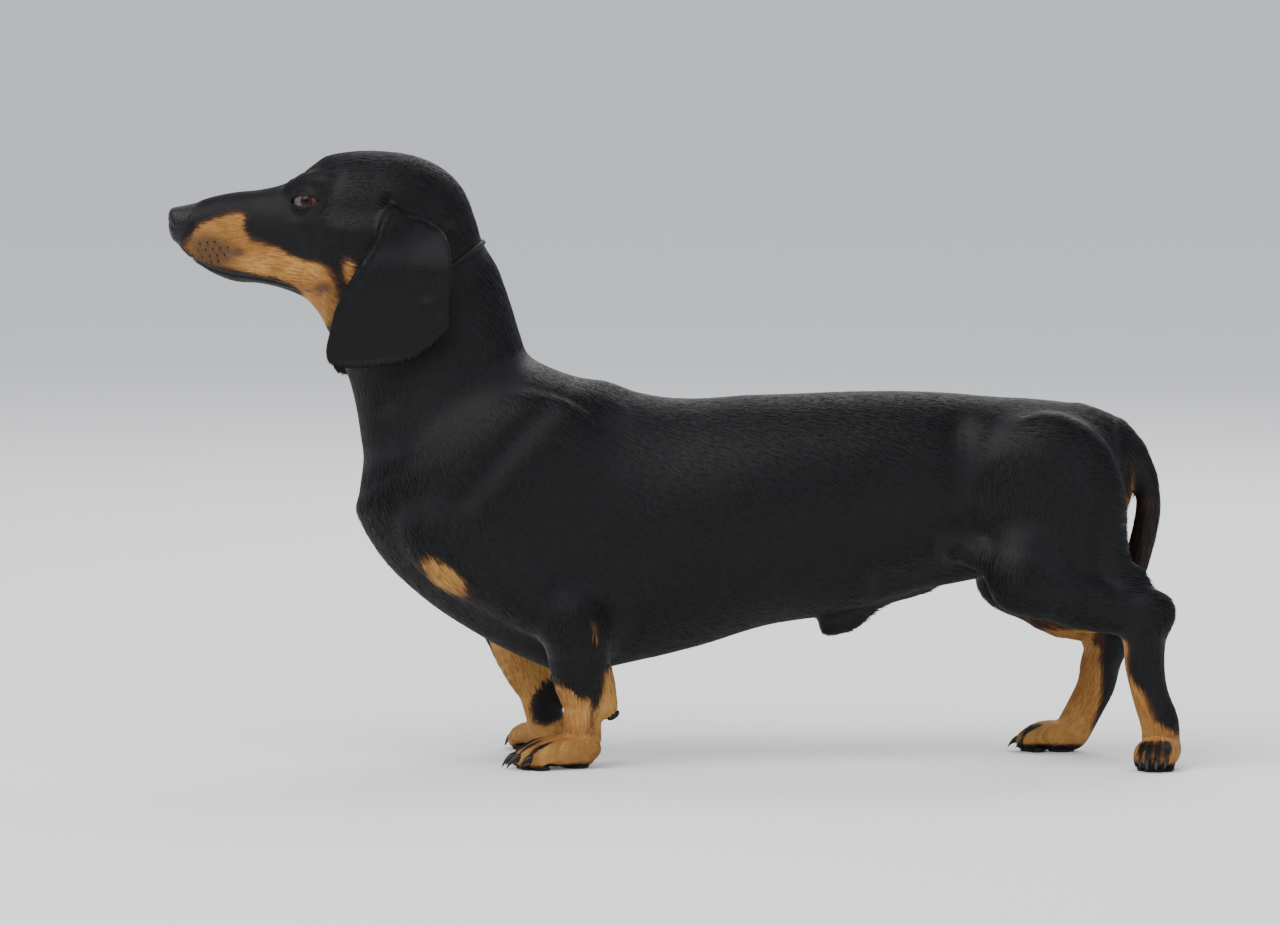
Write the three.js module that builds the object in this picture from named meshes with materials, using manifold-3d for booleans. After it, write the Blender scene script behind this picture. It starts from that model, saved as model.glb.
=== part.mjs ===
// A smooth-haired standard dachshund, black and tan, standing: a still, life-size model.
// Millimetres. X runs from the nose to the tail, Y from the dog's left side to its right, and Z up
// from the floor that the four paws stand on. The origin lies on the floor under the middle of the dog.
import * as THREE from "three";
import { mergeVertices } from "three/addons/utils/BufferGeometryUtils.js";
import Module from "manifold-3d";

const wasm = await Module();
wasm.setup();

// Driving dimensions of the whole dog
const LEFT = -1;
const RIGHT = 1;
const SIDES = [
  ["left", LEFT],
  ["right", RIGHT],
];
const GAP = 0.3; // between two nodes that meet face to face
const NECK_CUT = { back: [-127.5, 341.5], front: [-223.5, 270.5] }; // the plane where the head ends
const CHEST_CUT = { back: [-92, 262], front: [-210, 190] }; // the plane where the neck ends
const RUMP_X = 284;
const TAIL_CUT_X = 289; // where the tail meets the rump
const CELLS = {
  head: [7.8, 6.3, 6.3],
  nose: [4.9, 4.6, 4.6],
  neck: [11.5, 10.5, 11.5],
  torso: [19, 14.5, 14.5],
  foreleg: [9.4, 8.4, 9.4],
  hindleg: [12, 11, 12],
  paw: [6, 6, 5.3],
  tail: [7, 6, 9],
}; // how fine each node's net of triangles is

// The trunk from the nose to the rump, as ribs in the mirror plane. Each runs from a point on the
// back line to one on the underline, with half the width there, how much wider it is towards the
// back than below, and how square its outline is (2 is an ellipse).
const rib = (back, under, half, lean = 0, square = 2) => ({ back, under, half, lean, square });
const TRUNK = [
  rib([-324, 361], [-322, 337.5], 12.5, 0.05, 2.6),
  rib([-312, 363.5], [-312, 326.5], 15, 0.06, 2.4),
  rib([-301, 367.2], [-301, 317.5], 17.5, 0.04, 2.4),
  rib([-286, 370.3], [-286, 311.5], 19.5, 0.02, 2.4),
  rib([-270, 372], [-269, 310], 21.5, 0, 2.4),
  rib([-256, 375], [-254, 306.5], 25.5, -0.04, 2.4),
  rib([-245, 380], [-241, 301], 30, 0, 2.3),
  rib([-236, 387], [-234, 294.5], 35, 0.02, 2.3),
  rib([-226, 393.5], [-229.5, 288], 39, 0.05, 2.3),
  rib([-210, 396.6], [-226.5, 282], 42, 0.06, 2.3),
  rib([-192, 397], [-224.5, 278], 43.5, 0.06, 2.2),
  rib([-174, 395], [-223.5, 275], 44, 0.05, 2.2),
  rib([-158, 389.8], [-222, 272], 43.5, 0.03, 2.2),
  rib([-146, 382], [-221, 269.5], 42.5, 0, 2.1),
  rib([-137, 371], [-219.5, 266.5], 42, -0.03, 2.1),
  rib([-130.5, 356], [-217.5, 262], 41.5, -0.05, 2.1),
  rib([-125, 339], [-215, 256], 41.5, -0.05, 2.1),
  rib([-115.5, 322], [-211.5, 246], 43, -0.05, 2.1),
  rib([-107.5, 301], [-208, 232], 45, -0.05, 2.1),
  rib([-101, 280], [-205, 214], 48, -0.05, 2.1),
  rib([-95.5, 266], [-203, 197], 51, -0.08, 2.1),
  rib([-84.5, 258], [-205, 178], 55, -0.12, 2.1),
  rib([-65, 250.5], [-206.5, 160], 59, -0.14, 2.1),
  rib([-45, 247], [-190, 131], 62, -0.14, 2.1),
  rib([-25, 240.5], [-163, 105], 64, -0.12, 2.1),
  rib([-5, 236.8], [-132, 84], 65, -0.08, 2.1),
  rib([18, 236.2], [-100, 67], 65.5, -0.04, 2.1),
  rib([45, 238], [-68, 57], 66, 0, 2.15),
  rib([80, 239.2], [-28, 64], 66, 0.02, 2.2),
  rib([114, 240.5], [15, 74.5], 63.5, 0.04, 2.2),
  rib([146, 240.8], [60, 88], 60, 0.06, 2.2),
  rib([176, 239.8], [110, 96], 55, 0.08, 2.2),
  rib([204, 237.5], [158, 110], 51, 0.1, 2.2),
  rib([231, 236], [205, 120], 48.5, 0.1, 2.2),
  rib([254, 233.3], [245, 130], 45, 0.1, 2.1),
  rib([273, 227.5], [272, 140], 38, 0.1, 2.1),
  rib([RUMP_X, 220.5], [286, 160], 26, 0.1, 2),
];

// Smooth joins of distances: a fillet of about the given width where two forms meet.
const { clamp, lerp, degToRad } = THREE.MathUtils;

function join(a, b, fillet) {
  const h = clamp(0.5 + (0.5 * (b - a)) / fillet, 0, 1);
  return lerp(b, a, h) - fillet * h * (1 - h);
}

function carve(a, b, fillet) {
  return -join(-a, b, fillet);
}

// Points of a smooth curve through the given rows of numbers.
function smoothRows(rows, steps) {
  const first = rows[0].map((v, i) => 2 * v - rows[1][i]);
  const end = rows.length - 1;
  const last = rows[end].map((v, i) => 2 * v - rows[end - 1][i]);
  const all = [first, ...rows, last];
  const out = [];
  for (let i = 1; i <= end; i++) {
    const [a, b, c, d] = all.slice(i - 1, i + 3);
    for (let j = 0; j < steps; j++) {
      const t = j / steps;
      const at = (k) => {
        const slope = c[k] - a[k];
        const bend = 2 * a[k] - 5 * b[k] + 4 * c[k] - d[k];
        const twist = 3 * b[k] - a[k] - 3 * c[k] + d[k];
        return 0.5 * (2 * b[k] + slope * t + bend * t * t + twist * t * t * t);
      };
      out.push(b.map((_, k) => at(k)));
    }
  }
  out.push(rows[end]);
  return out;
}

// The trunk: the distance to a body lofted through the ribs, rounded at both ends.
function loft(ribs, capFront, capBack, steps = 4) {
  const rows = ribs.map((r) => [...r.back, ...r.under, r.half, r.lean, r.square]);
  const sections = smoothRows(rows, steps).map(([bx, bz, ux, uz, half, lean, square]) => {
    const length = Math.hypot(bx - ux, bz - uz);
    return {
      cx: (bx + ux) / 2,
      cz: (bz + uz) / 2,
      tall: length / 2,
      dx: (bx - ux) / length,
      dz: (bz - uz) / length,
      half,
      lean,
      square,
    };
  });
  const ahead = (s, x, z) => (x - s.cx) * s.dz - (z - s.cz) * s.dx;
  const last = sections.length - 1;
  return (x, y, z) => {
    let before = ahead(sections[0], x, z);
    let nearest = Infinity;
    let at = 0;
    let beyond = 0;
    const consider = (position, over, cx, cz) => {
      const away = (x - cx) ** 2 + (z - cz) ** 2;
      if (away >= nearest) return;
      nearest = away;
      at = position;
      beyond = over;
    };
    if (before < 0) consider(0, -before, sections[0].cx, sections[0].cz);
    for (let i = 0; i < last; i++) {
      const a = sections[i];
      const b = sections[i + 1];
      const after = ahead(b, x, z);
      if (before >= 0 && after < 0) {
        const t = before / (before - after);
        consider(i + t, 0, lerp(a.cx, b.cx, t), lerp(a.cz, b.cz, t));
      }
      before = after;
    }
    if (before >= 0) consider(last, before, sections[last].cx, sections[last].cz);
    const i = Math.min(Math.floor(at), last - 1);
    const mix = (name) => lerp(sections[i][name], sections[i + 1][name], at - i);
    const dx = mix("dx");
    const dz = mix("dz");
    const size = Math.hypot(dx, dz);
    const tall = mix("tall");
    const square = mix("square");
    const along = ((x - mix("cx")) * dx + (z - mix("cz")) * dz) / size;
    const half = mix("half") * (1 + mix("lean") * clamp(along / tall, -1, 1));
    const cap = at === 0 ? capFront : capBack;
    return squareBall([along, y, beyond], [tall, half, cap], square);
  };
}

// About the distance to an ellipsoid with rounder or squarer sides.
function squareBall(offset, radii, square) {
  let sum = 0;
  for (let k = 0; k < 3; k++) sum += (Math.abs(offset[k]) / radii[k]) ** square;
  const level = sum ** (1 / square) + 1e-9;
  let slope = 0;
  for (let k = 0; k < 3; k++) slope += ((Math.abs(offset[k]) / radii[k]) ** (square - 1) / radii[k]) ** 2;
  const steep = Math.sqrt(slope) / level ** (square - 1) + 1e-9;
  return Math.max((level - 1) / steep, -Math.min(radii[0], radii[1]));
}

// A form with a sphere that holds it, from a list of centres and radii, so that far points are quick.
function bounded(balls, at) {
  const centre = [0, 1, 2].map((k) => balls.reduce((s, b) => s + b[0][k], 0) / balls.length);
  const reach = Math.max(...balls.map(([c, r]) => Math.hypot(...c.map((v, k) => v - centre[k])) + r));
  return { at, centre, reach };
}

// A round limb through rows of x, y, z and radius.
function chain(rows, steps = 3) {
  const points = smoothRows(rows, steps);
  return bounded(points.map((p) => [p.slice(0, 3), p[3]]), (x, y, z) => {
    let best = Infinity;
    for (let i = 0; i + 1 < points.length; i++) {
      const [ax, ay, az, ar] = points[i];
      const [bx, by, bz, br] = points[i + 1];
      const [ux, uy, uz] = [bx - ax, by - ay, bz - az];
      const [vx, vy, vz] = [x - ax, y - ay, z - az];
      const t = clamp((vx * ux + vy * uy + vz * uz) / (ux * ux + uy * uy + uz * uz), 0, 1);
      const away = Math.hypot(vx - t * ux, vy - t * uy, vz - t * uz) - lerp(ar, br, t);
      best = Math.min(best, away);
    }
    return best;
  });
}

// An ellipsoid, tipped about Y and then turned about Z, in degrees.
function ball(centre, radii, tip = 0, turn = 0) {
  const turned = new THREE.Euler(0, degToRad(tip), degToRad(turn), "ZYX");
  const back = new THREE.Matrix4().makeRotationFromEuler(turned).invert();
  const middle = new THREE.Vector3(...centre);
  const p = new THREE.Vector3();
  return bounded([[centre, Math.max(...radii)]], (x, y, z) => {
    p.set(x, y, z).sub(middle).applyMatrix4(back);
    return squareBall([p.x, p.y, p.z], radii, 2);
  });
}

// The head's long forms, as rows of x, distance from the mirror plane, z and radius: the upper lip,
// which hangs a little over the lower jaw from the nose to the mouth's corner, the brow and the cheekbone.
const LIP = [
  [-316, 6, 338, 6],
  [-306, 11, 330.5, 7],
  [-292, 13.5, 325, 8],
  [-274, 15, 322, 8.5],
  [-256, 18, 319, 8.5],
  [-242, 22, 316, 7.5],
  [-230, 25, 315, 6],
];
const BROW = [
  [-248, 15, 373, 4],
  [-239, 21, 377, 5.5],
  [-227, 27, 377, 5],
];
const CHEEKBONE = [
  [-234, 27, 352, 7],
  [-214, 36.5, 346, 8],
  [-186, 38, 346, 7],
];

// The head's own forms on each side: brow, cheek, cheekbone, upper lip and the wing of the nose.
function headForms(side) {
  const line = (rows) => chain(rows.map(([x, y, z, r]) => [x, side * y, z, r]));
  return [
    { form: line(BROW), fillet: 9 },
    { form: ball([-197, side * 33, 320], [30, 14, 28], 10), fillet: 12 },
    { form: line(CHEEKBONE), fillet: 10 },
    { form: line(LIP), fillet: 8 },
    { form: ball([-317.5, side * 8.5, 349], [8.5, 6.5, 8.5]), fillet: 3 },
  ];
}

// The eye: its centre, and where it faces, outwards from straight ahead and upwards, in degrees.
const EYE = { along: -237.5, out: 20.5, up: 364.2, radius: 10.2, lid: 1.6, faceOut: 63, faceUp: 4 };
const ORBIT = { ahead: 17, radii: [12, 12, 11] }; // the hollow round the eye
const eyeCentre = (side) => [EYE.along, side * EYE.out, EYE.up];
const eyeFacing = (side) => {
  const [out, up] = [degToRad(EYE.faceOut), degToRad(EYE.faceUp)];
  return [-Math.cos(out) * Math.cos(up), side * Math.sin(out) * Math.cos(up), Math.sin(up)];
};
const aheadOfEye = (side, by) => eyeCentre(side).map((v, k) => v + eyeFacing(side)[k] * by);
const orbitForm = (side) => ball(aheadOfEye(side, ORBIT.ahead), ORBIT.radii);
const lidForm = (side) => ball(eyeCentre(side), [1, 1, 1].map(() => EYE.radius + EYE.lid));

// Forelegs: joints as x, distance from the mirror plane and z. The right leg stands ahead of the left
// with its foot turned out.
const FORELEG = {
  left: { elbow: [-65, 56, 96], wrist: [-60, 49, 40], pastern: [-60, 48, 20], heel: [-57, 47], turn: 20 },
  right: { elbow: [-109, 56, 93], wrist: [-90, 49, 40], pastern: [-84, 48, 20], heel: [-71, 45], turn: 54 },
};
const mirrored = (side) => (p) => [p[0], side * p[1], ...p.slice(2)];

const middle = (a, b, t) => a.map((v, k) => lerp(v, b[k], t));

// The shoulder blade, the upper arm, the forearm, and the tendon that ends in the pad behind the wrist.
function forelegForms(name, side) {
  const out = mirrored(side);
  const joints = FORELEG[name];
  const [elbow, wrist, pastern] = [joints.elbow, joints.wrist, joints.pastern].map(out);
  const shoulder = out([-150, 42, 150]);
  const arm = [
    [...shoulder, 22],
    [...middle(shoulder, elbow, 0.55), 24],
    [...elbow, 20.5],
  ];
  const forearm = [
    [...elbow, 20.5],
    [...middle(elbow, wrist, 0.35), 20.5],
    [...middle(elbow, wrist, 0.7), 17.5],
    [...wrist, 13.2],
    [...pastern, 13],
  ];
  const tendon = [
    [middle(elbow, wrist, 0.35)[0] + 8, 48, 72, 11],
    [wrist[0] + 12.5, 47, 56, 9],
    [wrist[0] + 15.5, 46, 39.5, 8],
  ];
  return [
    { form: ball(out([-108, 41, 190]), [28, 13, 52], 38), fillet: 34 },
    { form: chain(arm), fillet: 16 },
    { form: chain(forearm), fillet: 9 },
    { form: chain(tendon.map(out)), fillet: 7 },
  ];
}

// Hind legs: the left stands back with its foot turned out, the right a little further forward.
const HINDLEG = {
  left: {
    knee: [224, 49, 121],
    shank: [258, 50, 109],
    hock: [308, 50, 100],
    shin: [
      [303.5, 50, 86, 14.5],
      [303, 51, 68, 13.4],
      [306.5, 51.5, 48, 12.3],
      [312.5, 52, 30, 13],
    ],
    foot: [314, 49, 16],
    turn: 78,
  },
  right: {
    knee: [220, 49, 115],
    shank: [254, 50, 94],
    hock: [295, 50, 90],
    shin: [
      [288, 50, 80, 15],
      [280.5, 51, 62, 14],
      [277, 51.5, 45, 13],
      [270, 52, 30, 12.5],
    ],
    foot: [262, 52, 15],
    turn: 8,
  },
};

// The thigh, the buttock, the knee, the fold of the flank, the second thigh, the tendon and the shin.
function hindlegForms(name, side) {
  const { knee, shank, hock, shin, foot } = HINDLEG[name];
  const out = mirrored(side);
  const line = (rows) => chain(rows.map(out));
  const flank = [
    [180, 40, 143, 8],
    [207, 46, 131, 9],
  ];
  const second = [
    [...knee, 20],
    [...shank, 19],
    [hock[0] - 16, 50, hock[2], 15.5],
  ];
  const tendon = [
    [280, 44, 142, 10],
    [290, 48, 120, 9],
    [...hock, 12],
  ];
  return [
    { form: ball(out([246, 40, 168]), [42, 21, 60], -8), fillet: 18 },
    { form: ball(out([264, 36, 160]), [25, 22, 46]), fillet: 14 },
    { form: ball(out([knee[0] + 2, 49, knee[2] + 6]), [24, 17, 27]), fillet: 14 },
    { form: line(flank), fillet: 12 },
    { form: line(second), fillet: 10 },
    { form: line(tendon), fillet: 10 },
    { form: line([[...hock, 14.5], ...shin, [...foot, 12.5]]), fillet: 8 },
  ];
}

// A paw: four toes that arch forward from the ball of the foot, and the pad under it.
const FOREPAW = { length: 52, width: 40, tall: 13.5 };
const HINDPAW = { length: 40, width: 30, tall: 12.5 };

function pawFrame(heel, side, turn) {
  const angle = degToRad(turn);
  const forward = [-Math.cos(angle), side * Math.sin(angle)];
  const across = [Math.sin(angle), side * Math.cos(angle)];
  return (f, a, z) => [heel[0] + forward[0] * f + across[0] * a, heel[1] + forward[1] * f + across[1] * a, z];
}

const TOES = [-1, -0.36, 0.36, 1];

function toeRows(place, size, spread) {
  const reach = size.length - 9 * Math.abs(spread);
  const wide = (size.width / 2 - 7) * spread;
  return [
    [...place(2, wide * 0.6, size.tall), 9],
    [...place(reach * 0.55, wide * 0.95, size.tall + 1 - 2 * Math.abs(spread)), 7.6],
    [...place(reach * 0.82, wide, size.tall - 4), 6.8],
    [...place(reach - 5, wide, 6.2), 6],
  ];
}

function pawForms(place, size) {
  const toes = TOES.map((spread) => ({ form: chain(toeRows(place, size, spread)), fillet: 2.5 }));
  const [px, py] = place(7, 0, 0);
  const pad = { form: ball([px, py, 8], [13, size.width * 0.4, 8.5]), fillet: 5 };
  const [sx, sy] = place(size.length * 0.4, 0, 0);
  const sole = { form: ball([sx, sy, 8], [size.width * 0.4, size.width * 0.4, 8]), fillet: 4 };
  return [pad, sole, ...toes];
}

function pawsOf(side, name) {
  const fore = FORELEG[name];
  const hind = HINDLEG[name];
  return {
    fore: pawFrame(mirrored(side)(fore.heel), side, fore.turn),
    hind: pawFrame(mirrored(side)(hind.foot), side, hind.turn),
  };
}

// The tail hangs from the croup in one bend and ends behind the hocks.
const TAIL = [
  [262, 0, 213, 17],
  [280, 0, 210, 15],
  [293.5, 0, 201, 12.5],
  [303, 0, 188, 10],
  [307.5, 0, 172, 8.6],
  [306.5, 0, 155, 8.8],
  [302, 0, 135, 8.6],
  [298, 0, 115, 7.2],
  [297, 0, 96, 5.8],
  [298, 0, 78, 4.4],
  [300, 0, 62, 2.8],
];

const underForms = [
  { form: ball([278, 0, 184], [18, 14, 22]), fillet: 12 },
  { form: chain([[160, 0, 114, 6], [132, 0, 106, 7], [113, 0, 93, 9], [101, 0, 89, 8.5]]), fillet: 7 },
  { form: ball([263, 0, 126], [16, 12, 12], 30), fillet: 6 },
  { form: chain(TAIL.slice(0, 3)), fillet: 10 },
];

// Creases and hollows of the dog's sides, drawn in side view: points, depth and width.
const CREASES = [
  { points: [[-84, 232], [-102, 214], [-114, 200], [-134, 176]], depth: 3.5, width: 9 },
  { points: [[-186, 232], [-184, 208]], depth: 2.5, width: 8 },
  { points: [[182, 216], [183, 180]], depth: 3.5, width: 11 },
  { points: [[126, 120], [150, 124], [170, 132], [184, 152]], depth: 3, width: 9 },
];
const SIDE_FADE = [12, 30]; // the creases fade in between these distances from the mirror plane

function relief(x, y, z) {
  const fade = THREE.MathUtils.smoothstep(Math.abs(y), ...SIDE_FADE);
  if (fade === 0) return 0;
  let deep = 0;
  for (const { points, depth, width } of CREASES) {
    let near = Infinity;
    for (let i = 0; i + 1 < points.length; i++) {
      const [[ax, az], [bx, bz]] = [points[i], points[i + 1]];
      const along = (x - ax) * (bx - ax) + (z - az) * (bz - az);
      const t = clamp(along / ((bx - ax) ** 2 + (bz - az) ** 2), 0, 1);
      near = Math.min(near, (x - lerp(ax, bx, t)) ** 2 + (z - lerp(az, bz, t)) ** 2);
    }
    deep += depth * Math.exp(-near / width ** 2);
  }
  return deep * fade;
}

// The whole body's field: negative inside.
const NOSE_CAP = 6.5; // how far the trunk bulges ahead of its first rib
const RUMP_CAP = 12; // and behind its last one
const EYE_AREA = 40; // orbits and lids reach no further than this from the eye in side view
const ORBIT_FILLET = 6;
const LID_FILLET = 3;
const trunk = loft(TRUNK, NOSE_CAP, RUMP_CAP);
const forms = [...underForms];
for (const [name, side] of SIDES) {
  const paws = pawsOf(side, name);
  forms.push(...headForms(side));
  forms.push(...forelegForms(name, side), ...pawForms(paws.fore, FOREPAW));
  forms.push(...hindlegForms(name, side), ...pawForms(paws.hind, HINDPAW));
}

const orbits = { [LEFT]: orbitForm(LEFT), [RIGHT]: orbitForm(RIGHT) };
const lidForms = { [LEFT]: lidForm(LEFT), [RIGHT]: lidForm(RIGHT) };

function body(x, y, z) {
  let d = trunk(x, y, z) + relief(x, y, z);
  for (const { form, fillet } of forms) {
    const [cx, cy, cz] = form.centre;
    if (Math.hypot(x - cx, y - cy, z - cz) - form.reach > d + fillet) continue;
    d = join(d, form.at(x, y, z), fillet);
  }
  const side = y < 0 ? LEFT : RIGHT;
  if (Math.hypot(x - EYE.along, z - EYE.up) > EYE_AREA) return d;
  d = carve(d, orbits[side].at(x, y, z), ORBIT_FILLET);
  return join(d, lidForms[side].at(x, y, z), LID_FILLET);
}

// A closed net of triangles on a field's surface inside a box, with cells of the given size.
const CORNERS = [0, 1, 2, 3, 4, 5, 6, 7].map((i) => [i & 1, (i >> 1) & 1, (i >> 2) & 1]);

// Where the inside meets itself only across the diagonal of a cell's face, one more corner joins it,
// so that no edge of the net has four faces.
function partDiagonals(values, count) {
  const steps = [1, count[0], count[0] * count[1]];
  const joined = -0.01;
  for (let pass = 0, found = 1; found && pass < 6; pass++) {
    found = 0;
    for (let k = 0; k < count[2]; k++)
      for (let j = 0; j < count[1]; j++)
        for (let i = 0; i < count[0]; i++)
          for (let n = 0; n < 3; n++) {
            const [m, o] = [(n + 1) % 3, (n + 2) % 3];
            const at = [i, j, k];
            if (at[m] + 1 >= count[m] || at[o] + 1 >= count[o]) continue;
            const a = i + count[0] * (j + count[1] * k);
            const four = [a, a + steps[m], a + steps[m] + steps[o], a + steps[o]];
            const inside = four.map((c) => values[c] < 0);
            if (inside[0] !== inside[2] || inside[1] !== inside[3] || inside[0] === inside[1]) continue;
            const outer = four.filter((c) => values[c] >= 0).sort((b, c) => values[b] - values[c]);
            values[outer[0]] = joined;
            found++;
          }
  }
}

function net(field, low, high, cell) {
  const count = low.map((v, k) => Math.ceil((high[k] - v) / cell[k]) + 1);
  const index = (i, j, k) => i + count[0] * (j + count[1] * k);
  const values = new Float32Array(count[0] * count[1] * count[2]);
  const place = (i, j, k) => [low[0] + i * cell[0], low[1] + j * cell[1], low[2] + k * cell[2]];
  for (let k = 0; k < count[2]; k++)
    for (let j = 0; j < count[1]; j++)
      for (let i = 0; i < count[0]; i++) {
        const edge = [i, j, k].some((v, n) => v === 0 || v === count[n] - 1);
        values[index(i, j, k)] = edge ? Math.max(0.5, field(...place(i, j, k))) : field(...place(i, j, k));
      }
  partDiagonals(values, count);
  const vertexOf = new Map();
  const points = [];
  const corners = [];
  for (let k = 0; k + 1 < count[2]; k++)
    for (let j = 0; j + 1 < count[1]; j++)
      for (let i = 0; i + 1 < count[0]; i++) {
        const at = CORNERS.map(([a, b, c]) => values[index(i + a, j + b, k + c)]);
        const inside = at.filter((v) => v < 0).length;
        if (inside === 0 || inside === 8) continue;
        const sum = [0, 0, 0];
        let crossings = 0;
        for (let a = 0; a < 8; a++)
          for (const bit of [1, 2, 4]) {
            const b = a | bit;
            if (b === a || at[a] < 0 === at[b] < 0) continue;
            const t = at[a] / (at[a] - at[b]);
            for (let n = 0; n < 3; n++) sum[n] += lerp(CORNERS[a][n], CORNERS[b][n], t);
            crossings++;
          }
        vertexOf.set(index(i, j, k), points.length);
        points.push(sum.map((v, n) => low[n] + ([i, j, k][n] + v / crossings) * cell[n]));
        corners.push(place(i, j, k));
      }
  const faces = [];
  const steps = [1, count[0], count[0] * count[1]];
  for (let k = 0; k + 1 < count[2]; k++)
    for (let j = 0; j + 1 < count[1]; j++)
      for (let i = 0; i + 1 < count[0]; i++) {
        const here = index(i, j, k);
        for (let n = 0; n < 3; n++) {
          const inside = values[here] < 0;
          if (inside === values[here + steps[n]] < 0) continue;
          const u = steps[(n + 1) % 3];
          const v = steps[(n + 2) % 3];
          const quad = [here - u - v, here - v, here, here - u].map((c) => vertexOf.get(c));
          if (!inside) quad.reverse();
          const [a, b, c, d] = quad;
          const short = new THREE.Vector3(...points[a]).distanceTo(new THREE.Vector3(...points[c]));
          const other = new THREE.Vector3(...points[b]).distanceTo(new THREE.Vector3(...points[d]));
          faces.push(...(short <= other ? [a, b, c, a, c, d] : [a, b, d, b, c, d]));
        }
      }
  const margin = cell.map((c) => c * 1.01);
  points.forEach((p, i) => {
    if (p.some((v, n) => v < low[n] + margin[n] || v > high[n] - 2 * margin[n])) return;
    settle(field, p);
    corners[i].forEach((v, n) => (p[n] = clamp(p[n], v, v + cell[n])));
  });
  const geometry = new THREE.BufferGeometry();
  geometry.setAttribute("position", new THREE.Float32BufferAttribute(points.flat(), 3));
  geometry.setIndex(faces);
  return geometry;
}

// A field's slope at a point, and a point moved onto its surface along that slope.
function slopeAt(field, p, reach = 0.5) {
  return p.map((_, n) => {
    const up = [...p];
    const down = [...p];
    up[n] += reach;
    down[n] -= reach;
    return (field(...up) - field(...down)) / (2 * reach);
  });
}

function settle(field, p) {
  for (let turn = 0; turn < 3; turn++) {
    const off = field(...p);
    const slope = slopeAt(field, p);
    const square = slope.reduce((s, v) => s + v * v, 1e-6);
    const move = clamp(off / square, -3, 3);
    slope.forEach((v, n) => (p[n] -= v * move));
  }
}

// Solids: closed geometries as manifolds and back.
function solid(geometry) {
  const plain = geometry.clone();
  for (const name of Object.keys(plain.attributes)) if (name !== "position") plain.deleteAttribute(name);
  const merged = mergeVertices(plain, 1e-4);
  return new wasm.Manifold(
    new wasm.Mesh({
      numProp: 3,
      vertProperties: merged.attributes.position.array,
      triVerts: new Uint32Array(merged.index.array),
    }),
  );
}

function largest(made) {
  return made.decompose().sort((a, b) => b.volume() - a.volume())[0];
}

function geometryOf(made) {
  const { vertProperties, triVerts, numProp } = made.getMesh();
  const geometry = new THREE.BufferGeometry();
  const positions = new Float32Array((vertProperties.length / numProp) * 3);
  for (let i = 0; i < positions.length / 3; i++)
    positions.set(vertProperties.subarray(i * numProp, i * numProp + 3), i * 3);
  geometry.setAttribute("position", new THREE.BufferAttribute(positions, 3));
  geometry.setIndex(new THREE.BufferAttribute(triVerts, 1));
  geometry.computeVertexNormals();
  return geometry;
}

// The same solid with its skin moved out along its normals.
function swollen(made, by) {
  const geometry = geometryOf(made);
  const p = geometry.attributes.position;
  const n = geometry.attributes.normal;
  for (let i = 0; i < p.count; i++) {
    const [x, y, z] = [p.getX(i), p.getY(i), p.getZ(i)];
    p.setXYZ(i, x + n.getX(i) * by, y + n.getY(i) * by, z + n.getZ(i) * by);
  }
  geometry.deleteAttribute("normal");
  return solid(geometry);
}

function block(low, high) {
  const size = high.map((v, k) => v - low[k]);
  const box = new THREE.BoxGeometry(...size);
  box.translate(...low.map((v, k) => v + size[k] / 2));
  return solid(box);
}

// Everything on one side of a plane square to the mirror plane, through a point on the back and one
// in front, moved by an offset towards the nose.
const FAR = 900;
function noseSide(cut, offset) {
  const [bx, bz] = cut.back;
  const [fx, fz] = cut.front;
  const length = Math.hypot(fx - bx, fz - bz);
  const normal = [(fz - bz) / length, -(fx - bx) / length];
  const box = new THREE.BoxGeometry(FAR, FAR, FAR);
  box.translate(FAR / 2 + offset, 0, 0);
  box.rotateY(-Math.atan2(normal[1], normal[0]));
  box.translate((bx + fx) / 2, 0, (bz + fz) / 2);
  return solid(box);
}

const FLOOR = block([-FAR, -FAR, -FAR], [FAR, FAR, 0]);

// Regions that part the legs from the torso: an egg round the joint and a box below the belly.
const LEG_INNER = 6; // how near the mirror plane a leg's region reaches
const LEG_OUTER = 140;
const UNDERGROUND = -5;
function egg(centre, radii, grow = 0) {
  const shape = new THREE.SphereGeometry(1, 20, 12);
  shape.scale(...radii.map((r) => r + grow));
  shape.translate(...centre);
  return solid(shape);
}

function forelegRegion(name, side, grow) {
  const { elbow, wrist } = FORELEG[name];
  const y = [side * (LEG_INNER - grow), side * LEG_OUTER].sort((a, b) => a - b);
  const under = block([wrist[0] - 90, y[0], UNDERGROUND], [wrist[0] + 80 + grow, y[1], 52 + grow]);
  return egg([(elbow[0] + wrist[0]) / 2, side * 68, 66], [46, 36, 56], grow).add(under);
}

function hindlegRegion(side, grow) {
  const y = [side * (LEG_INNER - grow), side * LEG_OUTER].sort((a, b) => a - b);
  const under = block([195 - grow, y[0], UNDERGROUND], [345, y[1], 98 + grow]);
  const hock = block([278 - grow, y[0], 50], [345, y[1], 122 + grow]);
  return egg([246, side * 72, 132], [60, 52, 86], grow).add(under).add(hock);
}

const FOREPAW_TOP = 27; // the height where the paws meet the legs
const HINDPAW_TOP = 29;
const below = (z) => block([-FAR, -FAR, -FAR], [FAR, FAR, z]);

// Claws: short cones that point ahead and down, sunk well into the toe.
const CLAW = { tip: 0.7, root: 2.3, length: 12, slant: 124, ahead: 4.6, up: 6 };

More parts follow.
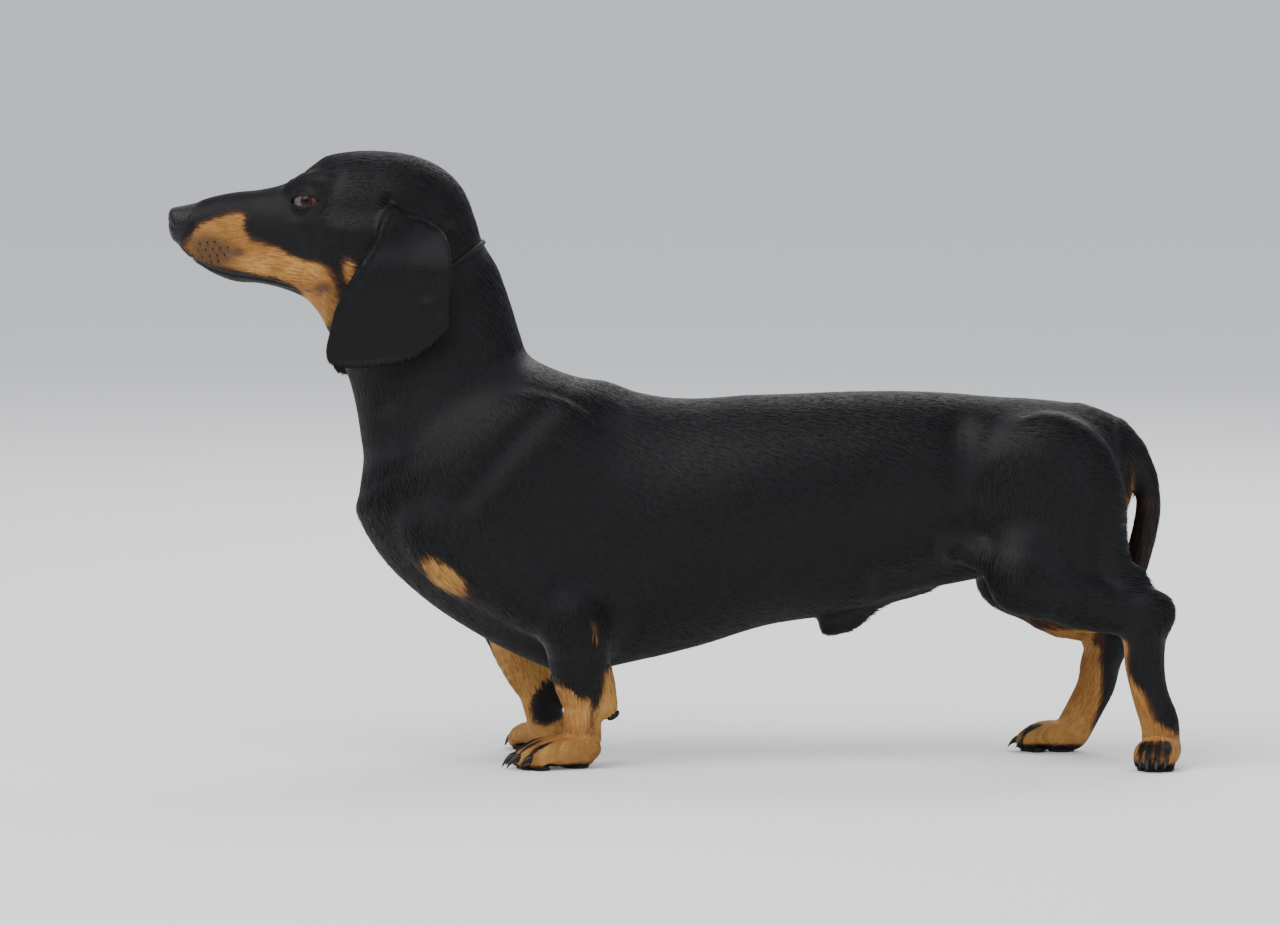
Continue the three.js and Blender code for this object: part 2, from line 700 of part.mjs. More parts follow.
function claw(place, size, spread) {
  const rows = toeRows(place, size, spread);
  const [tx, ty] = rows[3];
  const [rx, ry] = rows[2];
  const length = Math.hypot(tx - rx, ty - ry);
  const [fx, fy] = [(tx - rx) / length, (ty - ry) / length];
  const cone = new THREE.CylinderGeometry(CLAW.tip, CLAW.root, CLAW.length, 7, 1);
  cone.rotateZ(-degToRad(CLAW.slant));
  const point = cone.attributes.position;
  for (let i = 0; i < point.count; i++) {
    const [a, b, c] = [point.getX(i) + CLAW.ahead, point.getY(i) + CLAW.up, point.getZ(i)];
    point.setXYZ(i, tx + fx * a - fy * c, ty + fy * a + fx * c, b);
  }
  return solid(cone);
}

// One paw with its claws, cut level at the floor and at its top.
function pawSolid(place, size, top) {
  const [back, ahead, beside] = [-24, size.length + 14, 34];
  const corners = [back, ahead].flatMap((f) => [-beside, beside].map((a) => place(f, a, 0)));
  const low = [0, 1].map((k) => Math.min(...corners.map((c) => c[k])));
  const high = [0, 1].map((k) => Math.max(...corners.map((c) => c[k])));
  let made = solid(net(body, [...low, -9], [...high, top + 14], CELLS.paw));
  for (const spread of TOES) made = made.add(claw(place, size, spread));
  return largest(made.subtract(FLOOR).intersect(below(top - GAP / 2)));
}

// The eyeball and the almond opening in its lids.
function faceOutward(geometry, side) {
  geometry.rotateY(-degToRad(EYE.faceUp));
  geometry.rotateZ(Math.PI - side * degToRad(EYE.faceOut));
  geometry.translate(...eyeCentre(side));
  return solid(geometry);
}

function eyeBall(side, grow = 0) {
  const globe = new THREE.SphereGeometry(EYE.radius + grow, 14, 9);
  return faceOutward(globe.rotateZ(degToRad(90)), side);
}

const ALMOND = { rear: [9.8, 1.2], front: [-9.8, -1.6], over: 8.6, under: -7.6 };

function eyeOpening(side) {
  const almond = new THREE.Shape();
  almond.moveTo(-ALMOND.rear[0] * side, ALMOND.rear[1]);
  almond.quadraticCurveTo(-1 * side, ALMOND.over, -ALMOND.front[0] * side, ALMOND.front[1]);
  almond.quadraticCurveTo(0, ALMOND.under, -ALMOND.rear[0] * side, ALMOND.rear[1]);
  const prism = new THREE.ExtrudeGeometry(almond, { depth: 16, bevelEnabled: false, curveSegments: 6 });
  prism.rotateX(degToRad(90));
  prism.rotateZ(degToRad(90));
  return faceOutward(prism.translate(3, 0, 0), side);
}

// A closed tube through rings of points, with flat ends, or joined end to end.
function tubeOf(rings, closed = false) {
  const size = rings[0].length;
  const faces = [];
  const at = (i, j) => (i % rings.length) * size + (j % size);
  for (let i = 0; i < rings.length - (closed ? 0 : 1); i++)
    for (let j = 0; j < size; j++) {
      faces.push(at(i, j), at(i, j + 1), at(i + 1, j + 1));
      faces.push(at(i, j), at(i + 1, j + 1), at(i + 1, j));
    }
  const last = rings.length - 1;
  for (let j = 1; !closed && j + 1 < size; j++) {
    faces.push(at(0, 0), at(0, j + 1), at(0, j));
    faces.push(at(last, 0), at(last, j), at(last, j + 1));
  }
  const geometry = new THREE.BufferGeometry();
  geometry.setAttribute("position", new THREE.Float32BufferAttribute(rings.flat(2), 3));
  geometry.setIndex(faces);
  const made = solid(geometry);
  if (made.volume() > 0) return made;
  geometry.setIndex(faces.reverse());
  return solid(geometry);
}

// The mouth: a groove along the lips from corner to corner, round the front under the nose.
const MOUTH = [
  [-228, 307.5],
  [-238, 307],
  [-248, 309.5],
  [-258, 312.5],
  [-270, 315],
  [-285, 317],
  [-300, 320.5],
  [-308, 324.5],
];
const MOUTH_FRONT = [
  [-312, 10, 328],
  [-316, 4, 331],
];
const MOUTH_DEEP = 2.4;
const MOUTH_OPEN = 1.1;

// How far out the body's surface lies from a point inside it, in a level direction.
function surfaceFrom(point, direction) {
  let out = 4;
  for (let step = 0; step < 40; step++) out -= body(...point.map((v, k) => v + direction[k] * out));
  return point.map((v, k) => v + direction[k] * out);
}

function mouthGroove() {
  const sides = MOUTH.map(([x, z]) => ({ point: [x, 0, z], direction: [0, 1, 0] }));
  const front = MOUTH_FRONT.map(([x, y, z]) => {
    const size = Math.hypot(x + 300, y);
    return { point: [-300, 0, z], direction: [(x + 300) / size, y / size, 0] };
  });
  const right = [...sides, ...front];
  const left = right.map(({ point, direction: [dx, dy] }) => ({ point, direction: [dx, -dy, 0] }));
  const path = [...left, { point: [-300, 0, 332], direction: [-1, 0, 0] }, ...right.toReversed()];
  const rings = path.map(({ point, direction }, i) => {
    const p = surfaceFrom(point, direction);
    const open = (i === 0 || i === path.length - 1 ? 0.3 : 1) * MOUTH_OPEN * 0.5;
    const corner = (out, up) => [p[0] + direction[0] * out, p[1] + direction[1] * out, p[2] + up];
    return [corner(-MOUTH_DEEP, -0.15), corner(6, -open * 3), corner(6, open * 3), corner(-MOUTH_DEEP, 0.15)];
  });
  return tubeOf(rings);
}

// Nostrils: a round opening in front that runs back to a slit on the side of the nose.
function nostril(side) {
  const rows = [
    [-332, side * 3.5, 352, 1.2, 2.2],
    [-326, side * 5, 352, 2.4, 3],
    [-321, side * 8.2, 350.5, 2.4, 2.6],
    [-316.5, side * 12, 349, 2.4, 1.5],
    [-312.5, side * 16.5, 350, 2.6, 1],
  ];
  const rings = rows.map(([x, y, z, wide, tall]) =>
    [0, 1, 2, 3, 4, 5, 6, 7].map((k) => {
      const a = (k * Math.PI) / 4;
      return [x + Math.cos(a) * wide * 0.6, y + side * Math.cos(a) * wide * 0.8, z + Math.sin(a) * tall];
    }),
  );
  return tubeOf(rings);
}

// Ears: long leaves that hang from the skull, row by row from root to tip, each with its front and
// rear edge in side view, how far out they lie, and the thickness.
const EAR = [
  { front: [-180, 366], rear: [-165, 359], out: [34, 31], thick: 5 },
  { front: [-184.5, 361], rear: [-155, 351.5], out: [42, 37], thick: 7 },
  { front: [-189, 353], rear: [-147.5, 341], out: [47, 43], thick: 6.5 },
  { front: [-194.5, 340], rear: [-144, 329], out: [50.5, 46.5], thick: 5.5 },
  { front: [-204, 324], rear: [-143.5, 316], out: [52.5, 48], thick: 4.6 },
  { front: [-213, 309.5], rear: [-145, 303], out: [53, 48.5], thick: 4.2 },
  { front: [-219.5, 296], rear: [-145.5, 290], out: [52, 48.5], thick: 4 },
  { front: [-223, 282], rear: [-149, 281], out: [51, 48.5], thick: 3.8 },
  { front: [-225.5, 269], rear: [-160, 271], out: [50, 49], thick: 3.4 },
  { front: [-221, 261], rear: [-179, 264], out: [50, 50], thick: 2.6 },
];
const EAR_BULGE = 2.6;
const EAR_DROP = { left: 0, right: 11 }; // the right ear hangs lower at its tip
const EAR_STEPS = 5;

function earSolid(name, side) {
  const rows = EAR.map((r) => [...r.front, ...r.rear, ...r.out, r.thick]);
  const path = smoothRows(rows, 2);
  const rings = path.map(([fx, fz, rx, rz, fy, ry, thick], i) => {
    const v = i / (path.length - 1);
    const drop = EAR_DROP[name] * v * v;
    const outer = [];
    const inner = [];
    for (let j = 0; j <= EAR_STEPS; j++) {
      const u = j / EAR_STEPS;
      const edge = 1 - (2 * u - 1) ** 4;
      const half = thick * (0.18 + 0.32 * edge);
      const y = lerp(fy, ry, u) + EAR_BULGE * Math.sin(Math.PI * u) * Math.min(1, v * 4);
      const sag = 5 * v * v * Math.sin(Math.PI * u);
      const [x, z] = [lerp(fx, rx, u), lerp(fz, rz, u) - drop - sag];
      outer.push([x, side * (y + half), z]);
      inner.unshift([x, side * (y - half), z]);
    }
    return [...outer, ...inner];
  });
  return tubeOf(rings);
}

// The collar: a narrow band laid round the top of the neck, behind the ears.
const COLLAR = { back: [-125, 337], front: [-221, 266], wide: 4.6, thick: 2.2, above: 0.5, bevel: 0.5 };
const COLLAR_SIDES = 28;

function collarSolid() {
  const { back, front, wide, thick, above, bevel } = COLLAR;
  const centre = [(back[0] + front[0]) / 2, 0, (back[1] + front[1]) / 2];
  const length = Math.hypot(front[0] - back[0], front[1] - back[1]);
  const along = [(front[0] - back[0]) / length, 0, (front[1] - back[1]) / length];
  const axis = [along[2], 0, -along[0]];
  const rings = [];
  for (let i = 0; i < COLLAR_SIDES; i++) {
    const a = (i / COLLAR_SIDES) * 2 * Math.PI;
    const ray = [along[0] * Math.cos(a), Math.sin(a), along[2] * Math.cos(a)];
    const reach = (level) => {
      let r = 25;
      for (let step = 0; step < 24; step++) r += level - body(...centre.map((v, k) => v + ray[k] * r));
      return r;
    };
    const corner = (out, up) => centre.map((v, k) => v + ray[k] * out + axis[k] * up);
    const [inner, outer] = [reach(above), reach(above + thick)];
    rings.push([
      corner(inner, -wide / 2),
      corner(outer, -wide / 2 + bevel),
      corner(outer, wide / 2 - bevel),
      corner(inner, wide / 2),
    ]);
  }
  return tubeOf(rings, true);
}

// A made solid less each of the others.
const without = (made, ...others) => others.reduce((left, other) => left.subtract(other), made);

// The boxes that the nodes' nets are laid in, and the plane where the nose's leather begins.
const NOSE_CUT = { back: [-308, 366], front: [-321, 335] };
const HEAD_BOX = [[-345, -70, 240], [-100, 70, 415]];
const NOSE_BOX = [[-345, -30, 325], [-290, 30, 380]];
const NECK_BOX = [[-240, -80, 160], [-60, 80, 370]];
const TORSO_BOX = [[-230, -90, 40], [325, 90, 300]];
const TAIL_BOX = [[250, -30, 40], [340, 30, 240]];
const FORELEG_BOX = [[-150, 0, -4], [-5, 100, 130]];
const HINDLEG_BOX = [[175, 0, -4], [345, 100, 235]];
const EYE_ROOM = GAP + 0.1;

// The head with the nose, the eyes, the collar and the ears.
const parts = new Map();
const headNet = solid(net(body, ...HEAD_BOX, CELLS.head));
const skull = largest(headNet.intersect(noseSide(NECK_CUT, GAP / 2)));
let head = without(skull, noseSide(NOSE_CUT, -GAP / 2), mouthGroove());
for (const [, side] of SIDES) head = without(head, eyeBall(side, EYE_ROOM), eyeOpening(side));
parts.set("head", largest(head));
const noseNet = solid(net(body, ...NOSE_BOX, CELLS.nose));
const nose = without(noseNet.intersect(noseSide(NOSE_CUT, GAP / 2)), nostril(LEFT), nostril(RIGHT));
parts.set("nose", largest(nose));
for (const [name, side] of SIDES) parts.set("eye_" + name, eyeBall(side));

const neckNet = solid(net(body, ...NECK_BOX, CELLS.neck));
const neck = largest(neckNet.subtract(noseSide(NECK_CUT, -GAP / 2)).intersect(noseSide(CHEST_CUT, GAP / 2)));
parts.set("neck", neck);
const collar = largest(without(collarSolid(), swollen(neck, GAP), swollen(skull, GAP)));
parts.set("collar", collar);
for (const [name, side] of SIDES) {
  const room = [skull, neck, collar].map((made) => swollen(made, GAP));
  parts.set("ear_" + name, largest(without(earSolid(name, side), ...room)));
}

// The tail and the torso.
const tailNet = solid(net(chain(TAIL).at, ...TAIL_BOX, CELLS.tail));
const behind = (x) => block([x, -FAR, -FAR], [FAR, FAR, FAR]);
const tailRoom = swollen(tailNet, GAP).intersect(behind(TAIL_CUT_X - GAP));
parts.set("tail", largest(tailNet.intersect(behind(TAIL_CUT_X))));
let torso = without(solid(net(body, ...TORSO_BOX, CELLS.torso)), noseSide(CHEST_CUT, -GAP / 2), tailRoom);
for (const [name, side] of SIDES) {
  torso = without(torso, forelegRegion(name, side, GAP), hindlegRegion(side, GAP));
}
parts.set("torso", largest(torso));

// The legs and the paws.
const onSide = (box, side) => (side === RIGHT ? box : box.map(([x, y, z]) => [x, y - 100, z]));
for (const [name, side] of SIDES) {
  const paws = pawsOf(side, name);
  const fore = solid(net(body, ...onSide(FORELEG_BOX, side), CELLS.foreleg));
  const foreleg = fore.intersect(forelegRegion(name, side, 0)).subtract(below(FOREPAW_TOP + GAP / 2));
  parts.set("foreleg_" + name, largest(foreleg));
  parts.set("forepaw_" + name, pawSolid(paws.fore, FOREPAW, FOREPAW_TOP));
  const hind = solid(net(body, ...onSide(HINDLEG_BOX, side), CELLS.hindleg));
  const hindleg = hind.intersect(hindlegRegion(side, 0));
  parts.set("hindleg_" + name, largest(without(hindleg, below(HINDPAW_TOP + GAP / 2), tailRoom)));
  parts.set("hindpaw_" + name, pawSolid(paws.hind, HINDPAW, HINDPAW_TOP));
}

// Each node's colour is that of most of its coat.
const FINISHES = {
  black: { color: 0x1a191b, roughness: 0.5, metalness: 0 },
  tan: { color: 0xa9713c, roughness: 0.6, metalness: 0 },
  nose: { color: 0x202024, roughness: 0.4, metalness: 0 },
  eye: { color: 0x2e170b, roughness: 0.12, metalness: 0 },
  collar: { color: 0x131315, roughness: 0.6, metalness: 0 },
};

function finishOf(name) {
  if (name.includes("paw")) return FINISHES.tan;
  if (name.startsWith("eye")) return FINISHES.eye;
  return FINISHES[name] ?? FINISHES.black;
}

const dog = new THREE.Group();
for (const [name, made] of parts) {
  const mesh = new THREE.Mesh(geometryOf(made), new THREE.MeshStandardMaterial(finishOf(name)));
  mesh.name = name;
  dog.add(mesh);
}

export default dog;
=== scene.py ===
"""A smooth-haired standard dachshund, black and tan: skin, short coat, nose, eyes, claws, pads and collar.

Shapes are worked out in millimetres in the frame of the solids, with X from the nose to the tail, Y from the
dog's left side to its right, and Z up, and become metres when a mesh is made.
"""

import logging
from dataclasses import dataclass, field
from enum import Enum
from math import ceil, copysign, cos, hypot, pi, radians, sin, tau
from typing import Callable, Sequence

import bpy
import numpy as np
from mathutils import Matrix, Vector


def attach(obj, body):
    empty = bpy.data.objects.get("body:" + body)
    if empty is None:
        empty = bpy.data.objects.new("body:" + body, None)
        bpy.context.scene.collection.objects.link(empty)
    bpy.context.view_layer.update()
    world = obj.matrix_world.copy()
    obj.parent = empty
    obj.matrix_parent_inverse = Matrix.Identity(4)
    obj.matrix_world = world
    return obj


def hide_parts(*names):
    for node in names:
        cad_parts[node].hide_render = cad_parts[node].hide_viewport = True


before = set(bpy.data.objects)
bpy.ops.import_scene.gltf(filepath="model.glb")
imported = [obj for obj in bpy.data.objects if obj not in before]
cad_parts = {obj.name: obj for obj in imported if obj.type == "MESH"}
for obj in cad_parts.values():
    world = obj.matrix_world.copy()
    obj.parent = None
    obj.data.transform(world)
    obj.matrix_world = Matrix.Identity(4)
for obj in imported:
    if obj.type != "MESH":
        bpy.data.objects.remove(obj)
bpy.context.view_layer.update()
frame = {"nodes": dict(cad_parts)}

logging.basicConfig(level=logging.INFO, format="%(name)s: %(message)s")
LOG = logging.getLogger("dachshund")

MM = 0.001
Points = np.ndarray
Values = np.ndarray
Place = tuple[float, float, float]
Piece, Material = bpy.types.Object, bpy.types.Material
Socket = bpy.types.NodeSocket
Distance = Callable[[Points], Values]
SIDES = {"left": -1.0, "right": 1.0}


class Slot(Enum):
    """The record's material slots, by name."""

    COAT = "coat_black"
    TAN_COAT = "coat_tan"
    NOSE = "nose_leather"
    EYE = "eye"
    COLLAR = "collar"
    CLAW = "claw"


def mix(a: Values, b: Values, t: Values) -> Values:
    """The value a share t of the way from a to b."""
    return a + (b - a) * t


def norms(rows: Values) -> Values:
    """The length of each row."""
    return np.linalg.norm(rows, axis=1)


def fade(low: float, high: float, value: Values) -> Values:
    """A smooth rise from 0 at low to 1 at high, or a fall where low is the larger."""
    t = np.clip((value - low) / (high - low), 0, 1)
    return t * t * (3 - 2 * t)


def join(a: Values, b: Values, fillet: float | Values) -> Values:
    """The distance to two forms joined with a fillet of about the given width."""
    h = np.clip(0.5 + 0.5 * (b - a) / fillet, 0, 1)
    return mix(b, a, h) - fillet * h * (1 - h)


def carve(a: Values, b: Values, fillet: float | Values) -> Values:
    """The distance to form a with form b cut away, the edge rounded by about the fillet."""
    return -join(-a, b, fillet)


def smooth_rows(rows: Sequence[Sequence[float]], steps: int) -> Values:
    """Rows of numbers along a smooth curve through the given rows.

    Args:
        rows: the rows that the curve passes through.
        steps: how many rows each stretch gets.

    Returns:
        The finer rows, with the last given row at the end.
    """
    given = np.array(rows, float)
    whole = np.vstack([2 * given[0] - given[1], given, 2 * given[-1] - given[-2]])
    finer = []
    for a, b, c, d in zip(whole, whole[1:], whole[2:], whole[3:]):
        for step in range(steps):
            t = step / steps
            bend = 2 * a - 5 * b + 4 * c - d
            twist = 3 * b - a - 3 * c + d
            finer.append(0.5 * (2 * b + (c - a) * t + bend * t**2 + twist * t**3))
    return np.array([*finer, given[-1]])


def square_ball(offset: Sequence[Values], radii: Sequence[Values], square: Values) -> Values:
    """About the distance to an ellipsoid with rounder or squarer sides.

    Args:
        offset: the place relative to the middle, along the three axes.
        radii: the three radii.
        square: 2 for an ellipsoid, more for squarer sides.

    Returns:
        The distance, negative inside.
    """
    shares = [np.abs(o) / r for o, r in zip(offset, radii)]
    level = sum(s**square for s in shares) ** (1 / square) + 1e-9
    slope = sum((s ** (square - 1) / r) ** 2 for s, r in zip(shares, radii))
    steep = np.sqrt(slope) / level ** (square - 1) + 1e-9
    return np.maximum((level - 1) / steep, -np.minimum(radii[0], radii[1]))


@dataclass(frozen=True)
class Rib:
    """One cross-section of a lofted body: a chord in side view with the width there.

    back and under are the chord's ends, half is half the width, lean how much wider it is towards the
    back, and square how square its outline is.
    """

    back: tuple[float, float]
    under: tuple[float, float]
    half: float
    lean: float = 0.0
    square: float = 2.0


class Loft:
    """A body lofted through ribs and rounded at both ends."""

    def __init__(self, ribs: Sequence[Rib], front_cap: float, back_cap: float, steps: int = 4) -> None:
        """Works out the finer sections between the ribs."""
        rows = smooth_rows([[*r.back, *r.under, r.half, r.lean, r.square] for r in ribs], steps)
        back, under = rows[:, 0:2], rows[:, 2:4]
        chord = back - under
        length = norms(chord)
        self.centres = (back + under) / 2
        self.dirs = chord / length[:, None]
        self.table = np.column_stack([self.centres, self.dirs, length / 2, rows[:, 4:]])
        self.caps = (front_cap, back_cap)
        across = np.column_stack([self.dirs[:, 1], -self.dirs[:, 0]])
        self.planes = np.column_stack([across, -(across * self.centres).sum(1)]).T.astype(np.float32)
        steps_along = norms(np.diff(self.centres, axis=0))
        self.lengths = np.concatenate([[0.0], np.cumsum(steps_along)])

    def locate(self, p: Points) -> tuple[Values, Values]:
        """The section that each point lies on, with a fraction, and how far past the ends it is."""
        ahead = np.column_stack([p[:, 0], p[:, 2], np.ones(len(p))]).astype(np.float32) @ self.planes
        past = ahead >= 0
        rows, cols = np.nonzero(past[:, :-1] & ~past[:, 1:])
        a, b = ahead[rows, cols], ahead[rows, cols + 1]
        share = a / (a - b)
        where = [cols + share]
        beyond = [np.zeros(len(rows))]
        owner = [rows]
        last = self.planes.shape[1] - 1
        for found, index, sign in ((~past[:, 0], 0, -1.0), (past[:, -1], last, 1.0)):
            rows = np.nonzero(found)[0]
            owner.append(rows)
            where.append(np.full(len(rows), float(index)))
            beyond.append(sign * ahead[rows, index])
        owner, where, beyond = map(np.concatenate, (owner, where, beyond))
        low = np.minimum(where.astype(int), last - 1)
        centre = mix(self.centres[low], self.centres[low + 1], (where - low)[:, None])
        away = ((p[owner][:, (0, 2)] - centre) ** 2).sum(1)
        order = np.lexsort((away, owner))
        first = np.concatenate([[True], np.diff(owner[order]) > 0])
        chosen = order[first]
        return where[chosen], beyond[chosen]

    def section(self, where: Values) -> Values:
        """The rows of sizes at fractional sections."""
        low = np.minimum(where.astype(int), len(self.table) - 2)
        return mix(self.table[low], self.table[low + 1], (where - low)[:, None])

    def distance(self, p: Points) -> Values:
        """About the distance of each point to the body, negative inside."""
        where, beyond = self.locate(p)
        cx, cz, dx, dz, tall, half, lean, square = self.section(where).T
        along = ((p[:, 0] - cx) * dx + (p[:, 2] - cz) * dz) / np.hypot(dx, dz)
        cap = np.where(where == 0, *self.caps)
        wide = half * (1 + lean * np.clip(along / tall, -1, 1))
        return square_ball([along, p[:, 1], beyond], [tall, wide, cap], square)

    def heading(self, p: Points) -> Values:
        """The way from the front rib to the back one at each point."""
        dirs = self.section(self.locate(p)[0])[:, 2:4]
        ahead = np.column_stack([dirs[:, 1], np.zeros(len(p)), -dirs[:, 0]])
        return ahead / norms(ahead)[:, None]

    def chart(self, p: Points) -> tuple[Values, Values]:
        """How far along the body each point lies and the angle round it, both from 0 to 1."""
        where, _ = self.locate(p)
        rows = self.section(where)
        along = (p[:, 0] - rows[:, 0]) * rows[:, 2] + (p[:, 2] - rows[:, 1]) * rows[:, 3]
        angle = np.arctan2(p[:, 1] / rows[:, 5], along / rows[:, 4]) / tau + 0.5
        reach = np.interp(where, np.arange(len(self.lengths)), self.lengths)
        return reach / self.lengths[-1], angle


class Chain:
    """A round limb through rows of x, y, z and radius."""

    def __init__(self, rows: Sequence[Sequence[float]], steps: int = 3) -> None:
        """Works out the finer balls along the limb."""
        self.balls = smooth_rows(rows, steps)
        self.centre = self.balls[:, :3].mean(0)
        self.reach = (norms(self.balls[:, :3] - self.centre) + self.balls[:, 3]).max()

    def nearest(self, p: Points) -> tuple[Values, Values]:
        """The distance to the limb and the place along it, counted in stretches."""
        best = np.full(len(p), np.inf)
        place = np.zeros(len(p))
        for i, (a, b) in enumerate(zip(self.balls, self.balls[1:])):
            span = b[:3] - a[:3]
            offset = p - a[:3]
            t = np.clip(offset @ span / (span @ span), 0, 1)
            away = norms(offset - t[:, None] * span) - mix(a[3], b[3], t)
            closer = away < best
            best = np.where(closer, away, best)
            place = np.where(closer, i + t, place)
        return best, place

    def distance(self, p: Points) -> Values:
        """The distance of each point to the limb, negative inside."""
        return self.nearest(p)[0]

    def heading(self, p: Points) -> Values:
        """The limb's own direction next to each point."""
        place = self.nearest(p)[1]
        ways = np.diff(self.balls[:, :3], axis=0)
        ways /= norms(ways)[:, None]
        at = np.clip(place - 0.5, 0, len(ways) - 1.001)
        low = at.astype(int)
        return mix(ways[low], ways[np.minimum(low + 1, len(ways) - 1)], (at - low)[:, None])

    def chart(self, p: Points) -> tuple[Values, Values]:
        """How far along the limb each point lies and the angle round it, both from 0 to 1."""
        place = self.nearest(p)[1]
        low = np.minimum(place.astype(int), len(self.balls) - 2)
        centre = mix(self.balls[low, :3], self.balls[low + 1, :3], (place - low)[:, None])
        offset = p - centre
        level = np.where(np.abs(self.heading(p)[:, 2]) > 0.6, offset[:, 0], offset[:, 2])
        return place / (len(self.balls) - 1), np.arctan2(offset[:, 1], level) / tau + 0.5


class Ball:
    """An ellipsoid, tipped about Y by an angle in degrees."""

    def __init__(self, centre: Sequence[float], radii: Sequence[float], tip: float = 0.0) -> None:
        """Keeps the ellipsoid's place, radii and axes."""
        self.centre, self.radii = np.array(centre, float), np.array(radii, float)
        self.reach = float(self.radii.max())
        a = radians(tip)
        self.axes = np.array([[cos(a), 0, sin(a)], [0, 1, 0], [-sin(a), 0, cos(a)]])

    def distance(self, p: Points) -> Values:
        """About the distance of each point to the ellipsoid, negative inside."""
        return square_ball(((p - self.centre) @ self.axes).T, self.radii, 2.0)


@dataclass
class Form:
    """A chain or a ball, and the fillet that joins it to the rest of the body."""

    shape: Chain | Ball
    fillet: float

    def joined(self, p: Points, d: Values) -> Values:
        """The distances d with this form joined in, worked out only where it is near."""
        gap = norms(p - self.shape.centre) - self.shape.reach
        near = gap <= d + self.fillet
        if near.any():
            d = d.copy()
            d[near] = join(d[near], self.shape.distance(p[near]), self.fillet)
        return d


# The trunk from the nose to the rump: its back line, underline, half width, lean and squareness.
RUMP_X = 284.0
TRUNK = (
    Rib((-324, 361), (-322, 337.5), 12.5, 0.05, 2.6),
    Rib((-312, 363.5), (-312, 326.5), 15, 0.06, 2.4),
    Rib((-301, 367.2), (-301, 317.5), 17.5, 0.04, 2.4),
    Rib((-286, 370.3), (-286, 311.5), 19.5, 0.02, 2.4),
    Rib((-270, 372), (-269, 310), 21.5, 0, 2.4),
    Rib((-256, 375), (-254, 306.5), 25.5, -0.04, 2.4),
    Rib((-245, 380), (-241, 301), 30, 0, 2.3),
    Rib((-236, 387), (-234, 294.5), 35, 0.02, 2.3),
    Rib((-226, 393.5), (-229.5, 288), 39, 0.05, 2.3),
    Rib((-210, 396.6), (-226.5, 282), 42, 0.06, 2.3),
    Rib((-192, 397), (-224.5, 278), 43.5, 0.06, 2.2),
    Rib((-174, 395), (-223.5, 275), 44, 0.05, 2.2),
    Rib((-158, 389.8), (-222, 272), 43.5, 0.03, 2.2),
    Rib((-146, 382), (-221, 269.5), 42.5, 0, 2.1),
    Rib((-137, 371), (-219.5, 266.5), 42, -0.03, 2.1),
    Rib((-130.5, 356), (-217.5, 262), 41.5, -0.05, 2.1),
    Rib((-125, 339), (-215, 256), 41.5, -0.05, 2.1),
    Rib((-115.5, 322), (-211.5, 246), 43, -0.05, 2.1),
    Rib((-107.5, 301), (-208, 232), 45, -0.05, 2.1),
    Rib((-101, 280), (-205, 214), 48, -0.05, 2.1),
    Rib((-95.5, 266), (-203, 197), 51, -0.08, 2.1),
    Rib((-84.5, 258), (-205, 178), 55, -0.12, 2.1),
    Rib((-65, 250.5), (-206.5, 160), 59, -0.14, 2.1),
    Rib((-45, 247), (-190, 131), 62, -0.14, 2.1),
    Rib((-25, 240.5), (-163, 105), 64, -0.12, 2.1),
    Rib((-5, 236.8), (-132, 84), 65, -0.08, 2.1),
    Rib((18, 236.2), (-100, 67), 65.5, -0.04, 2.1),
    Rib((45, 238), (-68, 57), 66, 0, 2.15),
    Rib((80, 239.2), (-28, 64), 66, 0.02, 2.2),
    Rib((114, 240.5), (15, 74.5), 63.5, 0.04, 2.2),
    Rib((146, 240.8), (60, 88), 60, 0.06, 2.2),
    Rib((176, 239.8), (110, 96), 55, 0.08, 2.2),
    Rib((204, 237.5), (158, 110), 51, 0.1, 2.2),
    Rib((231, 236), (205, 120), 48.5, 0.1, 2.2),
    Rib((254, 233.3), (245, 130), 45, 0.1, 2.1),
    Rib((273, 227.5), (272, 140), 38, 0.1, 2.1),
    Rib((RUMP_X, 220.5), (286, 160), 26, 0.1, 2),
)

# Rows of x, distance from the mirror plane, z and radius.
LIP = (
    (-316, 6, 338, 6), (-306, 11, 330.5, 7), (-292, 13.5, 325, 8), (-274, 15, 322, 8.5),
    (-256, 18, 319, 8.5), (-242, 22, 316, 7.5), (-230, 25, 315, 6),
)
TAIL = (
    (262, 0, 213, 17), (280, 0, 210, 15), (293.5, 0, 201, 12.5), (303, 0, 188, 10),
    (307.5, 0, 172, 8.6), (306.5, 0, 155, 8.8), (302, 0, 135, 8.6), (298, 0, 115, 7.2),
    (297, 0, 96, 5.8), (298, 0, 78, 4.4), (300, 0, 62, 2.8),
)

@dataclass(frozen=True)
class Crease:
    """A soft groove drawn in side view, with its depth and width."""

    points: tuple[tuple[float, float], ...]
    depth: float
    width: float


# The near ear's outline in side view, from the front of its root down to its tip and up its rear edge.
EAR = (
    (-183.5, 364), (-189, 354), (-193.5, 341), (-200, 330.5), (-209.5, 316), (-218.5, 299),
    (-222.5, 284), (-225.5, 270), (-223, 261.8), (-213, 259), (-195, 259.6), (-178, 262.2),
    (-163, 268.8), (-151.5, 277.8), (-145, 286), (-145, 303), (-143.3, 321), (-145.2, 337),
    (-151.5, 348), (-161, 353.5), (-173, 357),
)
EAR_DROP = {"left": 0.0, "right": 11.0}
EAR_TOP, EAR_TIP = 365.0, 262.0
EAR_GROOVE = Crease(((-184.5, 365), (-173, 361), (-161, 358), (-149, 351.5)), 2.6, 4.2)


@dataclass(frozen=True)
class Foreleg:
    """A foreleg's joints, where its heel stands, and how far its foot turns out, in degrees."""

    elbow: Place
    wrist: Place
    pastern: Place
    heel: tuple[float, float]
    turn: float


